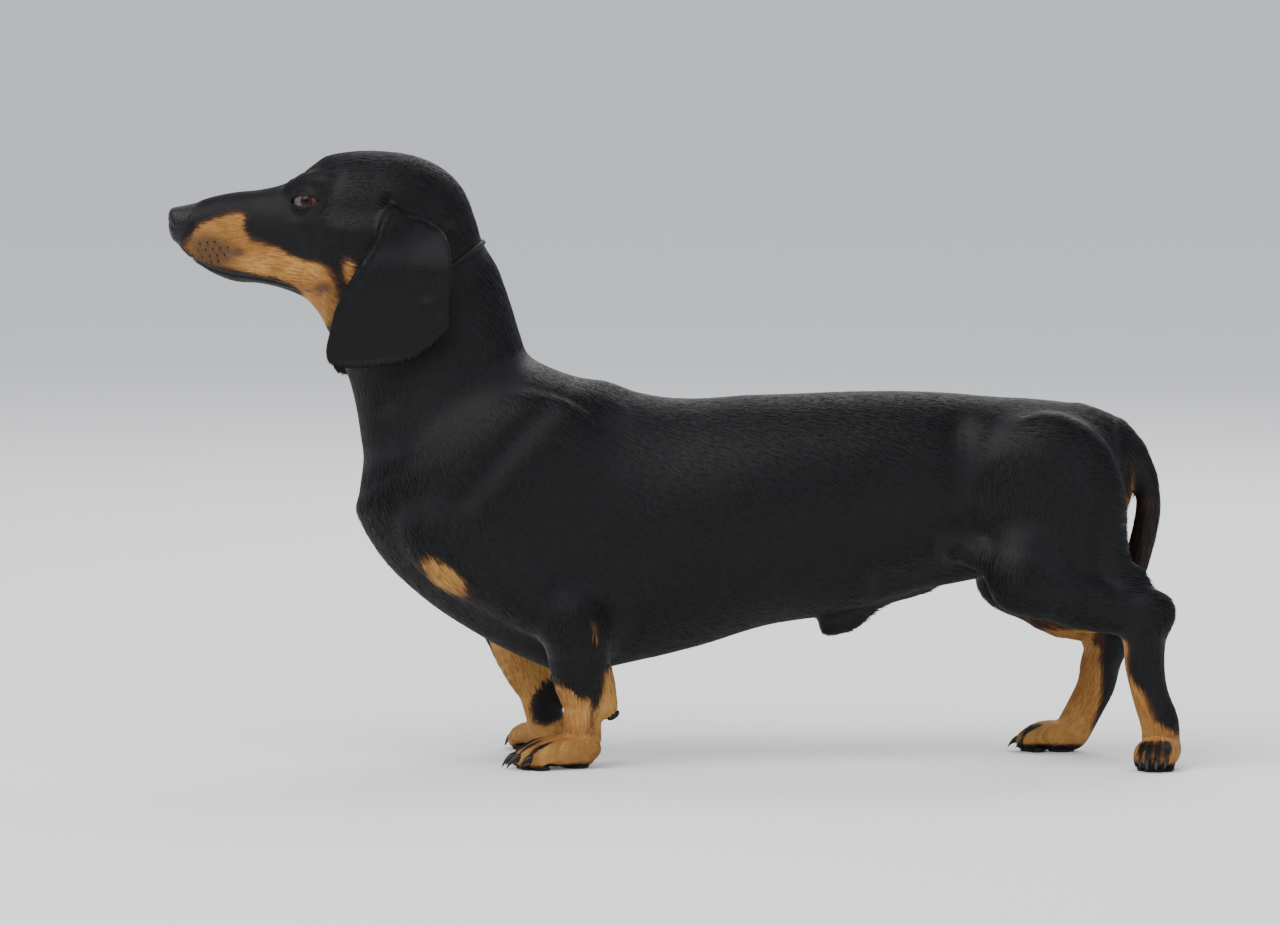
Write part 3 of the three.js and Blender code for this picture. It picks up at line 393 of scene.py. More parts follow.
@dataclass(frozen=True)
class Hindleg:
    """A hind leg's joints, its shin as rows with radii, where its foot stands and how far it turns out."""

    knee: Place
    shank: Place
    hock: Place
    shin: tuple[tuple[float, float, float, float], ...]
    foot: Place
    turn: float


FORELEGS = {
    "left": Foreleg((-65, 56, 96), (-60, 49, 40), (-60, 48, 20), (-57, 47), 20),
    "right": Foreleg((-109, 56, 93), (-90, 49, 40), (-84, 48, 20), (-71, 45), 54),
}
HINDLEGS = {
    "left": Hindleg(
        (224, 49, 121),
        (258, 50, 109),
        (308, 50, 100),
        ((303.5, 50, 86, 14.5), (303, 51, 68, 13.4), (306.5, 51.5, 48, 12.3), (312.5, 52, 30, 13)),
        (314, 49, 16),
        78,
    ),
    "right": Hindleg(
        (220, 49, 115),
        (254, 50, 94),
        (295, 50, 90),
        ((288, 50, 80, 15), (280.5, 51, 62, 14), (277, 51.5, 45, 13), (270, 52, 30, 12.5)),
        (262, 52, 15),
        8,
    ),
}


@dataclass(frozen=True)
class PawSize:
    """A paw's length, width and height at the knuckles, and the claws' length and radius."""

    length: float
    width: float
    tall: float
    claw: float
    thick: float


FOREPAW = PawSize(52, 40, 13.5, 9.5, 2.4)
HINDPAW = PawSize(40, 30, 12.5, 8.0, 2.0)
TOES = (-1.0, -0.36, 0.36, 1.0)


CREASES = (
    Crease(((-84, 232), (-102, 214), (-114, 200), (-134, 176)), 3.5, 9),
    Crease(((-186, 232), (-184, 208)), 2.5, 8),
    Crease(((182, 216), (183, 180)), 3.5, 11),
    Crease(((126, 120), (150, 124), (170, 132), (184, 152)), 3, 9),
)
SIDE_FADE = (12.0, 30.0)
# The mouth's line in side view, from its corner to the chin, and how its front goes round under the nose.
MOUTH = (
    (-229.5, 307), (-238, 306.5), (-248, 309), (-258, 312.2), (-270, 314.8), (-285, 317),
    (-300, 320.6), (-306, 323.6),
)
MOUTH_FRONT = ((55.0, 326.0), (28.0, 328.0), (0.0, 329.0))
MOUTH_DEPTH = 2.3
MOUTH_WIDTH = 1.3
MOUTH_FADE = (-229.0, -243.0)
MOUTH_MIDDLE_X = -301.0

# The plane where the nose's bare leather begins, as a point on the bridge and one at the lip.
NOSE_CUT = ((-308.0, 366.0), (-321.0, 335.0))
SKIN_DEPTH = 0.8
SOLE = 1.2


def to_line(x: Values, z: Values, points: Sequence[tuple[float, float]]) -> Values:
    """The distance in side view from each place to a line through the given points."""
    near = np.full(len(x), np.inf)
    for (ax, az), (bx, bz) in zip(points, points[1:]):
        along = (x - ax) * (bx - ax) + (z - az) * (bz - az)
        t = np.clip(along / ((bx - ax) ** 2 + (bz - az) ** 2), 0, 1)
        near = np.minimum(near, np.hypot(x - mix(ax, bx, t), z - mix(az, bz, t)))
    return near


def polygon(x: Values, z: Values, points: Sequence[tuple[float, float]]) -> Values:
    """How far inside a polygon drawn in side view each place lies, negative outside."""
    inside = np.zeros(len(x), bool)
    ring = [*points, points[0]]
    for (ax, az), (bx, bz) in zip(ring, ring[1:]):
        if az == bz:
            continue
        across = (az > z) != (bz > z)
        inside ^= across & (x < ax + (z - az) * (bx - ax) / (bz - az))
    return np.where(inside, 1, -1) * to_line(x, z, ring)


def mirrored(point: Sequence[float], side: float) -> tuple[float, ...]:
    """The same point on the dog's left or right side."""
    return (point[0], side * point[1], *point[2:])


def between(a: Sequence[float], b: Sequence[float], share: float) -> tuple[float, ...]:
    """A point the given share of the way from a to b."""
    return tuple(np.array(a) + (np.array(b) - np.array(a)) * share)


@dataclass
class EyeFrame:
    """Where one eye sits and faces, with its lids and the almond opening between them."""

    side: float
    centre: Values = field(init=False)
    axes: Values = field(init=False)

    CENTRE = (-236.7, 20.5, 364.6)
    FACES = (66.0, 4.0)
    RADIUS = 10.0
    LID = 11.1
    OPEN_FLOOR = 9.2
    CIRCLE = 18.1
    APART = 14.8
    TILT = 4.0

    def __post_init__(self) -> None:
        """Works out the eye's centre and its axes: ahead out of the eye, across to the rear, and up."""
        self.centre = np.array(mirrored(self.CENTRE, self.side))
        out, up = (radians(a) for a in self.FACES)
        ahead = np.array(
            [-cos(out) * cos(up), self.side * sin(out) * cos(up), sin(up)]
        )
        across = np.array([sin(out), self.side * cos(out), 0.0])
        rise = np.cross(ahead, across)
        rise *= copysign(1.0, rise[2])
        self.axes = np.column_stack([ahead, across, rise])

    def local(self, p: Points) -> Values:
        """Points in the eye's own frame: ahead, to the rear and up."""
        return (p - self.centre) @ self.axes

    def orbit(self) -> Ball:
        """The hollow round the eye."""
        return Ball(self.centre + self.axes[:, 0] * 17, (12, 12, 11))

    def opening(self, p: Points) -> Values:
        """The distance to the almond opening between the lids, negative inside it."""
        ahead, rear, rise = self.local(p).T
        a = radians(self.TILT)
        along = rear * cos(a) + rise * sin(a)
        over = rise * cos(a) - rear * sin(a)
        upper = np.hypot(along, over + self.APART) - self.CIRCLE
        lower = np.hypot(along, over - self.APART) - self.CIRCLE
        return np.maximum(np.maximum(upper, lower), -ahead)


class Paw:
    """One paw: the frame it stands in and its toes."""

    def __init__(self, heel: Sequence[float], side: float, turn: float, size: PawSize) -> None:
        """Works out the directions forwards and across the paw."""
        angle = radians(turn)
        self.heel, self.size = np.array([heel[0], side * heel[1]]), size
        self.forward = np.array([-cos(angle), side * sin(angle), 0.0])
        self.across = np.array([sin(angle), side * cos(angle), 0.0])

    def place(self, forward: float, across: float, z: float) -> Place:
        """The point so far forwards and across from the heel, at a height."""
        x, y = self.heel + self.forward[:2] * forward + self.across[:2] * across
        return x, y, z

    def toe(self, spread: float) -> list[tuple[float, ...]]:
        """The rows of one toe, from its root to its tip, with radii."""
        size = self.size
        reach = size.length - 9 * abs(spread)
        wide = (size.width / 2 - 7) * spread
        return [
            (*self.place(2, wide * 0.6, size.tall), 9),
            (*self.place(reach * 0.55, wide * 0.95, size.tall + 1 - 2 * abs(spread)), 7.6),
            (*self.place(reach * 0.82, wide, size.tall - 4), 6.8),
            (*self.place(reach - 5, wide, 6.2), 6),
        ]

    def forms(self) -> list[Form]:
        """The pad at the heel, the sole and the four toes."""
        wide = self.size.width * 0.4
        pad = Ball(self.place(7, 0, 8), (13, wide, 8.5))
        sole = Ball(self.place(self.size.length * 0.4, 0, 8), (wide, wide, 8))
        return [Form(pad, 5), Form(sole, 4), *(Form(Chain(self.toe(spread)), 2.0) for spread in TOES)]


class Ear:
    """One ear: a thin leaf that grows from the skull, lies on the cheek and hangs free below it."""

    STEP = 1.5
    AREA = ((-242.0, -128.0), (240.0, 382.0))
    MIDDLE = (-184.0, 42.0)
    INNER = (3.2, -5.0)
    OUTER = (7.8, 4.4)
    ROOT = (302.0, 354.0)
    HANG = 49.0

    def __init__(self, name: str, body: Distance) -> None:
        """Lays out the leaf's edge and measures the cheek that it rests on."""
        self.side, self.drop = SIDES[name], EAR_DROP[name]
        xs, zs = (np.arange(low, high, self.STEP) for low, high in self.AREA)
        x, z = (grid.ravel() for grid in np.meshgrid(xs, zs, indexing="ij"))
        y = np.full(len(x), 80.0)
        for _ in range(24):
            y = np.maximum(y - np.maximum(body(np.column_stack([x, y * self.side, z])), 0.0), 0.0)
        hang = self.HANG - 24 * fade(322, 366, z)
        cheek = -join(-y, -hang, 6.0).reshape(len(xs), len(zs))
        for _ in range(10):
            wide = np.pad(cheek, 1, mode="edge")
            beside = wide[:-2, 1:-1] + wide[2:, 1:-1] + wide[1:-1, :-2] + wide[1:-1, 2:]
            cheek = 0.5 * cheek + 0.125 * beside
        self.cheek = cheek
        self.edge = -polygon(x, z, smooth_rows([*EAR, EAR[0]], 3)[:-1]).reshape(len(xs), len(zs))

    def read(self, grid: Values, x: Values, z: Values) -> Values:
        """A grid's value at places in side view."""
        places = []
        for value, (low, _), count in zip((x, z), self.AREA, grid.shape):
            places.append(np.clip((value - low) / self.STEP, 0, count - 1.001))
        (i, k), (a, b) = (q.astype(int) for q in places), (q % 1 for q in places)
        return mix(mix(grid[i, k], grid[i + 1, k], a), mix(grid[i, k + 1], grid[i + 1, k + 1], a), b)

    def leaf(self, p: Points) -> tuple[Values, Values, Values]:
        """How far each point lies beside the leaf's middle, half its thickness, and how far past its edge."""
        x, y, z = p.T
        share = np.clip((EAR_TOP - z) / (EAR_TOP - EAR_TIP + self.drop), 0, 1)
        level = z + self.drop * share**2
        edge = self.read(self.edge, x, level)
        root = fade(*self.ROOT, level)
        dimple = np.exp(-(((x + 161.5) / 5) ** 2) - ((level - 306) / 4) ** 2)
        rim = fade(-5.0, -2.5, edge) * fade(-170, -185, x)
        outer = mix(*self.OUTER, root) + 0.7 * rim - 1.3 * dimple - fade(285, 262, level)
        inner = mix(*self.INNER, root)
        rest = self.read(self.cheek, x, z) + (inner + outer) / 2
        return y * self.side - rest, (outer - inner) / 2, edge

    def distance(self, p: Points) -> Values:
        """The distance of each point to the leaf, negative inside."""
        beside, half, edge = self.leaf(p)
        bend = np.minimum(half, 2.2)
        out, past = np.abs(beside) - half + bend, edge + bend
        return np.minimum(np.maximum(out, past), 0) + np.hypot(np.maximum(out, 0), np.maximum(past, 0)) - bend

    def joined(self, p: Points, d: Values) -> Values:
        """The distances d with the ear grown on at its root, below a groove."""
        x, y, z = p.T
        near = (y * self.side > 22) & (x > -240) & (x < -130) & (z > 240) & (z < 380)
        if not near.any():
            return d
        q = p[near]
        groove = to_line(q[:, 0], q[:, 2], EAR_GROOVE.points) / EAR_GROOVE.width
        pit = np.hypot(q[:, 0] + 185.5, q[:, 2] - 364.5) / 3.4
        d = d.copy()
        cut = d[near] + EAR_GROOVE.depth * np.exp(-(groove**2)) + 1.6 * np.exp(-(pit**2))
        d[near] = join(cut, self.distance(q), mix(0.8, 7.0, fade(336, 356, q[:, 2])))
        return d

    def heading(self, p: Points) -> Values:
        """The way that hairs lie on the ear: down, and out towards its edges."""
        spread = (p[:, 0] - self.MIDDLE[0]) / self.MIDDLE[1]
        way = np.column_stack([0.1 + 0.3 * spread, np.zeros(len(p)), -np.ones(len(p))])
        return way / norms(way)[:, None]

    def chart(self, p: Points) -> tuple[Values, Values]:
        """How far down the ear each point lies and the angle round it, both from 0 to 1."""
        beside, half, _ = self.leaf(p)
        angle = np.arctan2(beside / half, (p[:, 0] - self.MIDDLE[0]) / self.MIDDLE[1]) / tau + 0.5
        return np.clip((EAR_TOP - p[:, 2]) / (EAR_TOP - EAR_TIP + self.drop), 0, 1), angle


class Dog:
    """The dog's whole surface as a distance in millimetres, negative inside."""

    def __init__(self) -> None:
        """Lays out the trunk, limbs, paws, tail, ears and eyes."""
        self.trunk = Loft(TRUNK, 6.5, 12)
        self.tail = Chain(TAIL)
        self.eyes = {name: EyeFrame(side) for name, side in SIDES.items()}
        self.paws: dict[str, Paw] = {}
        self.legs: dict[str, Chain] = {}
        self.tendons: dict[str, Chain] = {}
        self.forms = self.under_forms()
        for name, side in SIDES.items():
            fore, hind = FORELEGS[name], HINDLEGS[name]
            self.paws["fore_" + name] = Paw(fore.heel, side, fore.turn, FOREPAW)
            self.paws["hind_" + name] = Paw(hind.foot, side, hind.turn, HINDPAW)
            self.forms += self.head_forms(side) + self.foreleg_forms(name, side)
            self.forms += self.paws["fore_" + name].forms() + self.hindleg_forms(name, side)
            self.forms += self.paws["hind_" + name].forms()
        self.forms.append(Form(self.tail, 2.5))
        self.ears = {name: Ear(name, self.body) for name in SIDES}
        self.mouth = self.mouth_line()

    def under_forms(self) -> list[Form]:
        """The rump under the tail, the belly's ridge and the root of the tail."""
        return [
            Form(Ball((278, 0, 184), (18, 14, 22)), 12),
            Form(Chain([(160, 0, 114, 6), (132, 0, 106, 7), (113, 0, 93, 9), (101, 0, 89, 8.5)]), 7),
            Form(Ball((263, 0, 126), (16, 12, 12), 30), 6),
            Form(Chain(TAIL[:3]), 10),
        ]

    def head_forms(self, side: float) -> list[Form]:
        """The cheek, the cheekbone and the upper lip on one side."""
        bone = [(-234, 27, 352, 7), (-214, 36.5, 346, 8), (-186, 38, 346, 7)]
        brow = [(-248, 15, 373, 4), (-239, 21, 377, 5.5), (-227, 27, 377, 5)]
        return [
            Form(Chain([mirrored(row, side) for row in brow]), 9),
            Form(Ball((-197, side * 33, 320), (30, 14, 28), 10), 12),
            Form(Chain([mirrored(row, side) for row in bone]), 10),
            Form(Chain([mirrored(row, side) for row in LIP]), 8),
            Form(Ball((-317.5, side * 8.5, 349), (8.5, 6.5, 8.5)), 3),
        ]

    def foreleg_forms(self, name: str, side: float) -> list[Form]:
        """The shoulder, the upper arm, the forearm and the tendon behind the wrist of one foreleg."""
        leg = FORELEGS[name]
        elbow, wrist, pastern = (mirrored(p, side) for p in (leg.elbow, leg.wrist, leg.pastern))
        shoulder = (-150, side * 42, 150)
        arm = [(*shoulder, 22), (*between(shoulder, elbow, 0.55), 24), (*elbow, 20.5)]
        high, low = between(elbow, wrist, 0.35), between(elbow, wrist, 0.7)
        fore = [(*elbow, 20.5), (*high, 20.5), (*low, 17.5), (*wrist, 13.2), (*pastern, 13)]
        tendon = [
            (high[0] + 8, side * 48, 72, 11),
            (wrist[0] + 12.5, side * 47, 56, 9),
            (wrist[0] + 15.5, side * 46, 39.5, 8),
        ]
        self.legs["fore_" + name] = Chain(fore)
        self.tendons[name] = Chain(tendon)
        return [
            Form(Ball((-108, side * 41, 190), (28, 13, 52), 38), 34),
            Form(Chain(arm), 16),
            Form(self.legs["fore_" + name], 9),
            Form(self.tendons[name], 7),
        ]

    def hindleg_forms(self, name: str, side: float) -> list[Form]:
        """The thigh, the knee, the hock with its web of skin and the shin of one hind leg."""
        leg = HINDLEGS[name]
        knee, shank, hock, foot = (mirrored(p, side) for p in (leg.knee, leg.shank, leg.hock, leg.foot))
        second = [(*knee, 20), (*shank, 19), (hock[0] - 16, side * 50, hock[2], 15.5)]
        tendon = [(280, side * 44, 142, 10), (290, side * 48, 120, 9), (*hock, 12)]
        shin = [(*hock, 14.5), *(mirrored(row, side) for row in leg.shin), (*foot, 12.5)]
        thigh = [(225, side * 46, 175, 30), (*knee, 20)]
        web = Ball((hock[0] - 15, side * 46, hock[2] + 18), (13, 7, 15))
        self.legs["hind_" + name] = Chain([*thigh, *second[1:2], *shin])
        return [
            Form(Ball((246, side * 40, 168), (42, 21, 60), -8), 18),
            Form(Ball((264, side * 36, 160), (25, 22, 46)), 14),
            Form(Ball((knee[0] + 2, side * 49, knee[2] + 6), (24, 17, 27)), 14),
            Form(Chain([(180, side * 40, 143, 8), (207, side * 46, 131, 9)]), 12),
            Form(Chain(second), 10),
            Form(Chain(tendon), 10),
            Form(web, 6),
            Form(Chain(shin), 8),
        ]

    def relief(self, p: Points) -> Values:
        """How deep the soft grooves of the dog's sides are at each point."""
        x, y, z = p.T
        deep = np.zeros(len(p))
        for crease in CREASES:
            deep += crease.depth * np.exp(-((to_line(x, z, crease.points) / crease.width) ** 2))
        return deep * fade(*SIDE_FADE, np.abs(y))

    def body(self, p: Points) -> Values:
        """The coat's outer surface without ears, eyelids and mouth."""
        d = self.trunk.distance(p) + self.relief(p)
        for form in self.forms:
            d = form.joined(p, d)
        return d

    def laid(self, starts: Sequence[Sequence[float]], turns: Sequence[float], deep: float) -> Points:
        """Points laid on the body from the mirror plane outwards.

        Args:
            starts: where each one starts, as x and z.
            turns: the way that each one goes, in degrees from straight ahead to the right.
            deep: how far below the coat's surface they end.

        Returns:
            The points.
        """
        middle = np.array([(x, 0.0, z) for x, z in starts])
        rays = np.array([(-cos(radians(a)), sin(radians(a)), 0.0) for a in turns])
        reach = np.full(len(rays), 3.0)
        for _ in range(40):
            reach -= 0.8 * (self.body(middle + rays * reach[:, None]) + deep)
        return middle + rays * reach[:, None]

    def mouth_line(self) -> Chain:
        """The closed lips' line on the skin from corner to corner, round under the nose."""
        starts = [*MOUTH, *((MOUTH_MIDDLE_X, z) for _, z in MOUTH_FRONT)]
        turns = [90.0] * len(MOUTH) + [a for a, _ in MOUTH_FRONT]
        right = self.laid(starts, turns, SKIN_DEPTH)
        rows = np.column_stack([right, np.zeros(len(right))])
        return Chain([*rows, *(rows[-2::-1] * (1, -1, 1, 1))], 4)

    def nose_ahead(self, p: Points) -> Values:
        """How far each point lies ahead of the plane where the nose's leather begins."""
        (bx, bz), (fx, fz) = NOSE_CUT
        length = hypot(fx - bx, fz - bz)
        nx, nz = (fz - bz) / length, (bx - fx) / length
        return (p[:, 0] - (bx + fx) / 2) * nx + (p[:, 2] - (bz + fz) / 2) * nz

    def coat(self, p: Points) -> Values:
        """The coat's outer surface, with the ears."""
        d = self.body(p)
        for ear in self.ears.values():
            d = ear.joined(p, d)
        return d

    def skin(self, p: Points) -> Values:
        """The surface that the coat grows from, with lids, lips and soles."""
        d = self.coat(p) + SKIN_DEPTH
        x, _, z = p.T
        head = x < -190
        if head.any():
            d = d.copy()
            d[head] = self.face(p[head], d[head])
        return carve(d, z - SOLE, 1.0) if (z < 8).any() else d

    def face(self, p: Points, d: Values) -> Values:
        """The distances d with the mouth, the bed of the nose, the orbits and the lids."""
        d = d + fade(0.5, 2.5, self.nose_ahead(p))
        near = (p[:, 2] < 336) & (p[:, 0] < -222)
        deep = MOUTH_DEPTH * fade(*MOUTH_FADE, p[near, 0])
        d[near] += deep * np.exp(-((self.mouth.distance(p[near]) / MOUTH_WIDTH) ** 2))
        for eye in self.eyes.values():
            near = norms(p - eye.centre) < 34
            if not near.any():
                continue
            q = p[near]
            away = norms(q - eye.centre)
            part = carve(d[near], eye.orbit().distance(q), 8)
            part = join(part, away - eye.LID, 4.5)
            hole = np.maximum(eye.opening(q), eye.OPEN_FLOOR - away)
            d[near] = carve(part, hole, 0.7)
        return d


BLOCK = 8
CORNERS = tuple((i, j, k) for i in (0, 1) for j in (0, 1) for k in (0, 1))
CELL_EDGES = tuple((a, b) for a in range(8) for b in range(a + 1, 8) if (a ^ b) in (1, 2, 4))
TETRAHEDRON = np.array([[1, -1, -1], [-1, -1, 1], [-1, 1, -1], [1, 1, 1]], float)


def graded(start: float, *spans: tuple[float, float]) -> Values:
    """Grid lines from a start, in spans that each run up to a place with about their own spacing."""
    lines = [start]
    for end, cell in spans:
        count = ceil((end - lines[-1]) / cell)
        lines.extend(np.linspace(lines[-1], end, count + 1)[1:])
    cell = lines[-1] - lines[-2]
    while (len(lines) - 1) % BLOCK:
        lines.append(lines[-1] + cell)
    return np.array(lines)


def in_chunks(distance: Distance, p: Points, size: int = 60000) -> Values:
    """The distances of many points, worked out a part at a time."""
    return np.concatenate([distance(p[i : i + size]) for i in range(0, len(p), size)])


class Net:
    """A closed net of triangles on a field's surface, over a grid with spacing that may change."""

    def __init__(self, distance: Distance, axes: Sequence[Values]) -> None:
        """Samples the field, lays the net and settles it on the surface."""
        self.distance, self.axes = distance, axes
        self.values = self.sample()
        self.part_diagonals()
        self.points, self.faces = self.build()
        self.settle(2)

    def sample(self) -> Values:
        """The field at the grid's corners, with only the sign where the surface is far."""
        blocks = [(len(a) - 1) // BLOCK for a in self.axes]
        grid = np.stack(np.meshgrid(*map(np.arange, blocks), indexing="ij"), -1).reshape(-1, 3)
        low = np.column_stack([a[grid[:, k] * BLOCK] for k, a in enumerate(self.axes)])
        high = np.column_stack([a[grid[:, k] * BLOCK + BLOCK] for k, a in enumerate(self.axes)])
        middle = in_chunks(self.distance, (low + high) / 2)
        near = np.abs(middle) < 0.8 * norms(high - low) + 3
        values = np.ones([len(a) for a in self.axes], np.float32)
        wanted = np.zeros(values.shape, bool)
        for (i, j, k), close, value in zip(grid * BLOCK, near, middle):
            whole = (slice(i, i + BLOCK + 1), slice(j, j + BLOCK + 1), slice(k, k + BLOCK + 1))
            if close:
                wanted[whole] = True
            elif value < 0:
                values[whole] = -1
        index = np.nonzero(wanted)
        places = np.column_stack([a[i] for a, i in zip(self.axes, index)])
        values[index] = in_chunks(self.distance, places)
        return values

    def part_diagonals(self) -> None:
        """Joins the inside across a cell's face where it would only touch itself along an edge."""
        found, turns = 1, 0
        while found and turns < 6:
            found, turns = 0, turns + 1
            for first, second in ((0, 1), (1, 2), (2, 0)):
                v = np.moveaxis(self.values, (first, second), (0, 1))
                inside = [part < 0 for part in (v[:-1, :-1], v[1:, :-1], v[1:, 1:], v[:-1, 1:])]
                clash = (inside[0] == inside[2]) & (inside[1] == inside[3]) & (inside[0] != inside[1])
                for i, j, k in np.argwhere(clash):
                    four = [(i, j, k), (i + 1, j, k), (i + 1, j + 1, k), (i, j + 1, k)]
                    outer = [corner for corner in four if v[corner] >= 0]
                    if len(outer) == 2:
                        v[min(outer, key=lambda corner: v[corner])] = -0.01
                found += int(clash.sum())

    def build(self) -> tuple[Points, Values]:
        """One point in each cell that the surface crosses, and triangles round each crossed edge."""
        inside = self.values < 0
        shape = tuple(n - 1 for n in inside.shape)
        counts = np.zeros(shape, np.int8)
        for i, j, k in CORNERS:
            counts += inside[i : i + shape[0], j : j + shape[1], k : k + shape[2]]
        active = (counts > 0) & (counts < 8)
        cells = np.argwhere(active)
        number = np.full(shape, -1)
        number[active] = np.arange(len(cells))
        at = np.stack([self.values[tuple((cells + c).T)] for c in CORNERS], 1)
        total, crossings = np.zeros((len(cells), 3)), np.zeros(len(cells))
        for a, b in CELL_EDGES:
            start, span = np.array(CORNERS[a]), np.subtract(CORNERS[b], CORNERS[a])
            cross = (at[:, a] < 0) != (at[:, b] < 0)
            share = at[cross, a] / (at[cross, a] - at[cross, b])
            total[cross] += start + share[:, None] * span
            crossings += cross
        share = total / crossings[:, None]
        low = np.column_stack([a[cells[:, k]] for k, a in enumerate(self.axes)])
        high = np.column_stack([a[cells[:, k] + 1] for k, a in enumerate(self.axes)])
        points = mix(low, high, share)
        faces = []
        for axis in range(3):
            step, u, w = np.eye(3, dtype=int)[[axis, (axis + 1) % 3, (axis + 2) % 3]]
            here = inside[tuple(slice(0, n - s) for n, s in zip(inside.shape, step))]
            there = inside[tuple(slice(s, None) for s in step)]
            e = np.argwhere(here != there)
            quad = np.column_stack([number[tuple((e - d).T)] for d in (u + w, w, 0 * u, u)])
            out = ~here[tuple(e.T)]
            quad[out] = quad[out][:, ::-1]
            a, b, c, d = quad.T
            short = norms(points[a] - points[c])
            first = short <= norms(points[b] - points[d])
            faces.append(np.where(first[:, None], np.column_stack([a, b, c]), np.column_stack([a, b, d])))
            faces.append(np.where(first[:, None], np.column_stack([a, c, d]), np.column_stack([b, c, d])))
        return points, np.concatenate(faces)

    def slope(self, p: Points) -> tuple[Values, Values]:
        """The field's value and slope at each point."""
        reach = 0.35
        four = [in_chunks(self.distance, p + reach * corner) for corner in TETRAHEDRON]
        rise = sum(v[:, None] * corner for v, corner in zip(four, TETRAHEDRON))
        return sum(four) / 4, rise / (4 * reach)

    def settle(self, turns: int, among: Values | None = None) -> None:
        """Moves all points, or those among the given numbers, onto the surface along the slope."""
        index = np.arange(len(self.points)) if among is None else among
        for _ in range(turns):
            value, rise = self.slope(self.points[index])
            move = np.clip(value / ((rise**2).sum(1) + 1e-4), -2.0, 2.0)
            self.points[index] -= move[:, None] * rise

    def edges(self) -> Values:
        """Each edge once, as two numbers of points in order."""
        ends = np.sort(np.concatenate([self.faces[:, (0, 1)], self.faces[:, (1, 2)], self.faces[:, (2, 0)]]))
        return np.unique(ends, axis=0)

    def relax(self, share: float) -> None:
        """Evens out the triangles by moving points along the surface towards their neighbours."""
        ends = self.edges()
        both = np.concatenate([ends, ends[:, ::-1]])
        count = np.bincount(both[:, 0], minlength=len(self.points))
        middle = np.column_stack(
            [np.bincount(both[:, 0], self.points[both[:, 1], k], len(self.points)) for k in range(3)]
        )
        move = middle / count[:, None] - self.points
        normal = self.normals()
        move -= (move * normal).sum(1)[:, None] * normal
        self.points += share * move

    def refine(self, limit: Distance) -> None:
        """Splits the edges longer than a limit, which is given for places, and settles the new points."""
        ends = self.edges()
        a, b = self.points[ends[:, 0]], self.points[ends[:, 1]]
        long = norms(a - b) > limit((a + b) / 2)
        ends = ends[long]
        fresh = np.arange(len(self.points), len(self.points) + len(ends))
        base = len(self.points)
        keys = ends[:, 0] * base + ends[:, 1]
        middles = []
        for i, j in ((0, 1), (1, 2), (2, 0)):
            pair = np.sort(self.faces[:, (i, j)])
            key = pair[:, 0] * base + pair[:, 1]
            found = np.searchsorted(keys, key)
            found = np.minimum(found, len(keys) - 1)
            middles.append(np.where(keys[found] == key, fresh[found], -1))
        self.points = np.concatenate([self.points, (self.points[ends[:, 0]] + self.points[ends[:, 1]]) / 2])
        self.faces = self.divided(self.faces, np.column_stack(middles))
        self.settle(2, fresh)

    @staticmethod
    def divided(faces: Values, middles: Values) -> Values:
        """The triangles, each parted at the middles that it has on its edges ab, bc and ca."""
        count = (middles >= 0).sum(1)
        parts = [faces[count == 0]]
        for turn in range(3):
            order = [turn, (turn + 1) % 3, (turn + 2) % 3]
            a, b, c = faces[:, order].T
            ab, bc, ca = middles[:, order].T
            one = (count == 1) & (ab >= 0)
            parts += [np.column_stack(t)[one] for t in ((a, ab, c), (ab, b, c))]
            two = (count == 2) & (ca < 0)
            parts += [np.column_stack(t)[two] for t in ((a, ab, c), (ab, bc, c), (ab, b, bc))]
        a, b, c = faces.T
        ab, bc, ca = middles.T
        three = count == 3
        parts += [np.column_stack(t)[three] for t in ((a, ab, ca), (ab, b, bc), (ca, bc, c), (ab, bc, ca))]
        return np.concatenate(parts)

    def normals(self) -> Values:
        """The net's normal at each point."""
        a, b, c = (self.points[self.faces[:, k]] for k in range(3))
        n = np.cross(b - a, c - a)
        whole = np.zeros_like(self.points)
        for k in range(3):
            for axis in range(3):
                whole[:, axis] += np.bincount(self.faces[:, k], n[:, axis], len(self.points))
        return whole / (norms(whole)[:, None] + 1e-12)


def ellipse(
    x: Values, z: Values, centre: Sequence[float], radii: Sequence[float], tip: float = 0.0
) -> Values:
    """About how far inside an ellipse drawn in side view each place lies, in millimetres."""
    a = radians(tip)
    along = (x - centre[0]) * cos(a) + (z - centre[1]) * sin(a)
    over = (z - centre[1]) * cos(a) - (x - centre[0]) * sin(a)
    return min(radii) * (1 - np.hypot(along / radii[0], over / radii[1]))


def blob(p: Points, centre: Sequence[float], radii: Sequence[float]) -> Values:
    """About how far inside an upright ellipsoid each point lies, in millimetres."""
    return min(radii) * (1 - norms((p - np.array(centre)) / np.array(radii)))


# The muzzle's tan in side view: from the nose along its upper edge to the throat and back along the mouth.
MUZZLE_TAN = (
    (-321, 334), (-315.3, 341.9), (-308.8, 350.4), (-299, 354.9), (-286, 358.8), (-278.2, 356.9),
    (-279.5, 348.4), (-275, 341.9), (-266.5, 338.7), (-256.8, 335.4), (-250.3, 330.9), (-240.5, 327.6),
    (-230.8, 327), (-223, 322.4), (-221, 317.9), (-217.8, 309.4), (-217, 298), (-222, 287),
    (-231, 281), (-240, 285), (-244, 296), (-243.8, 304.9), (-250.3, 311.5), (-260, 315),
    (-269.8, 317.3), (-286, 320.2), (-299, 322.5), (-308.8, 326), (-318.5, 334),
)


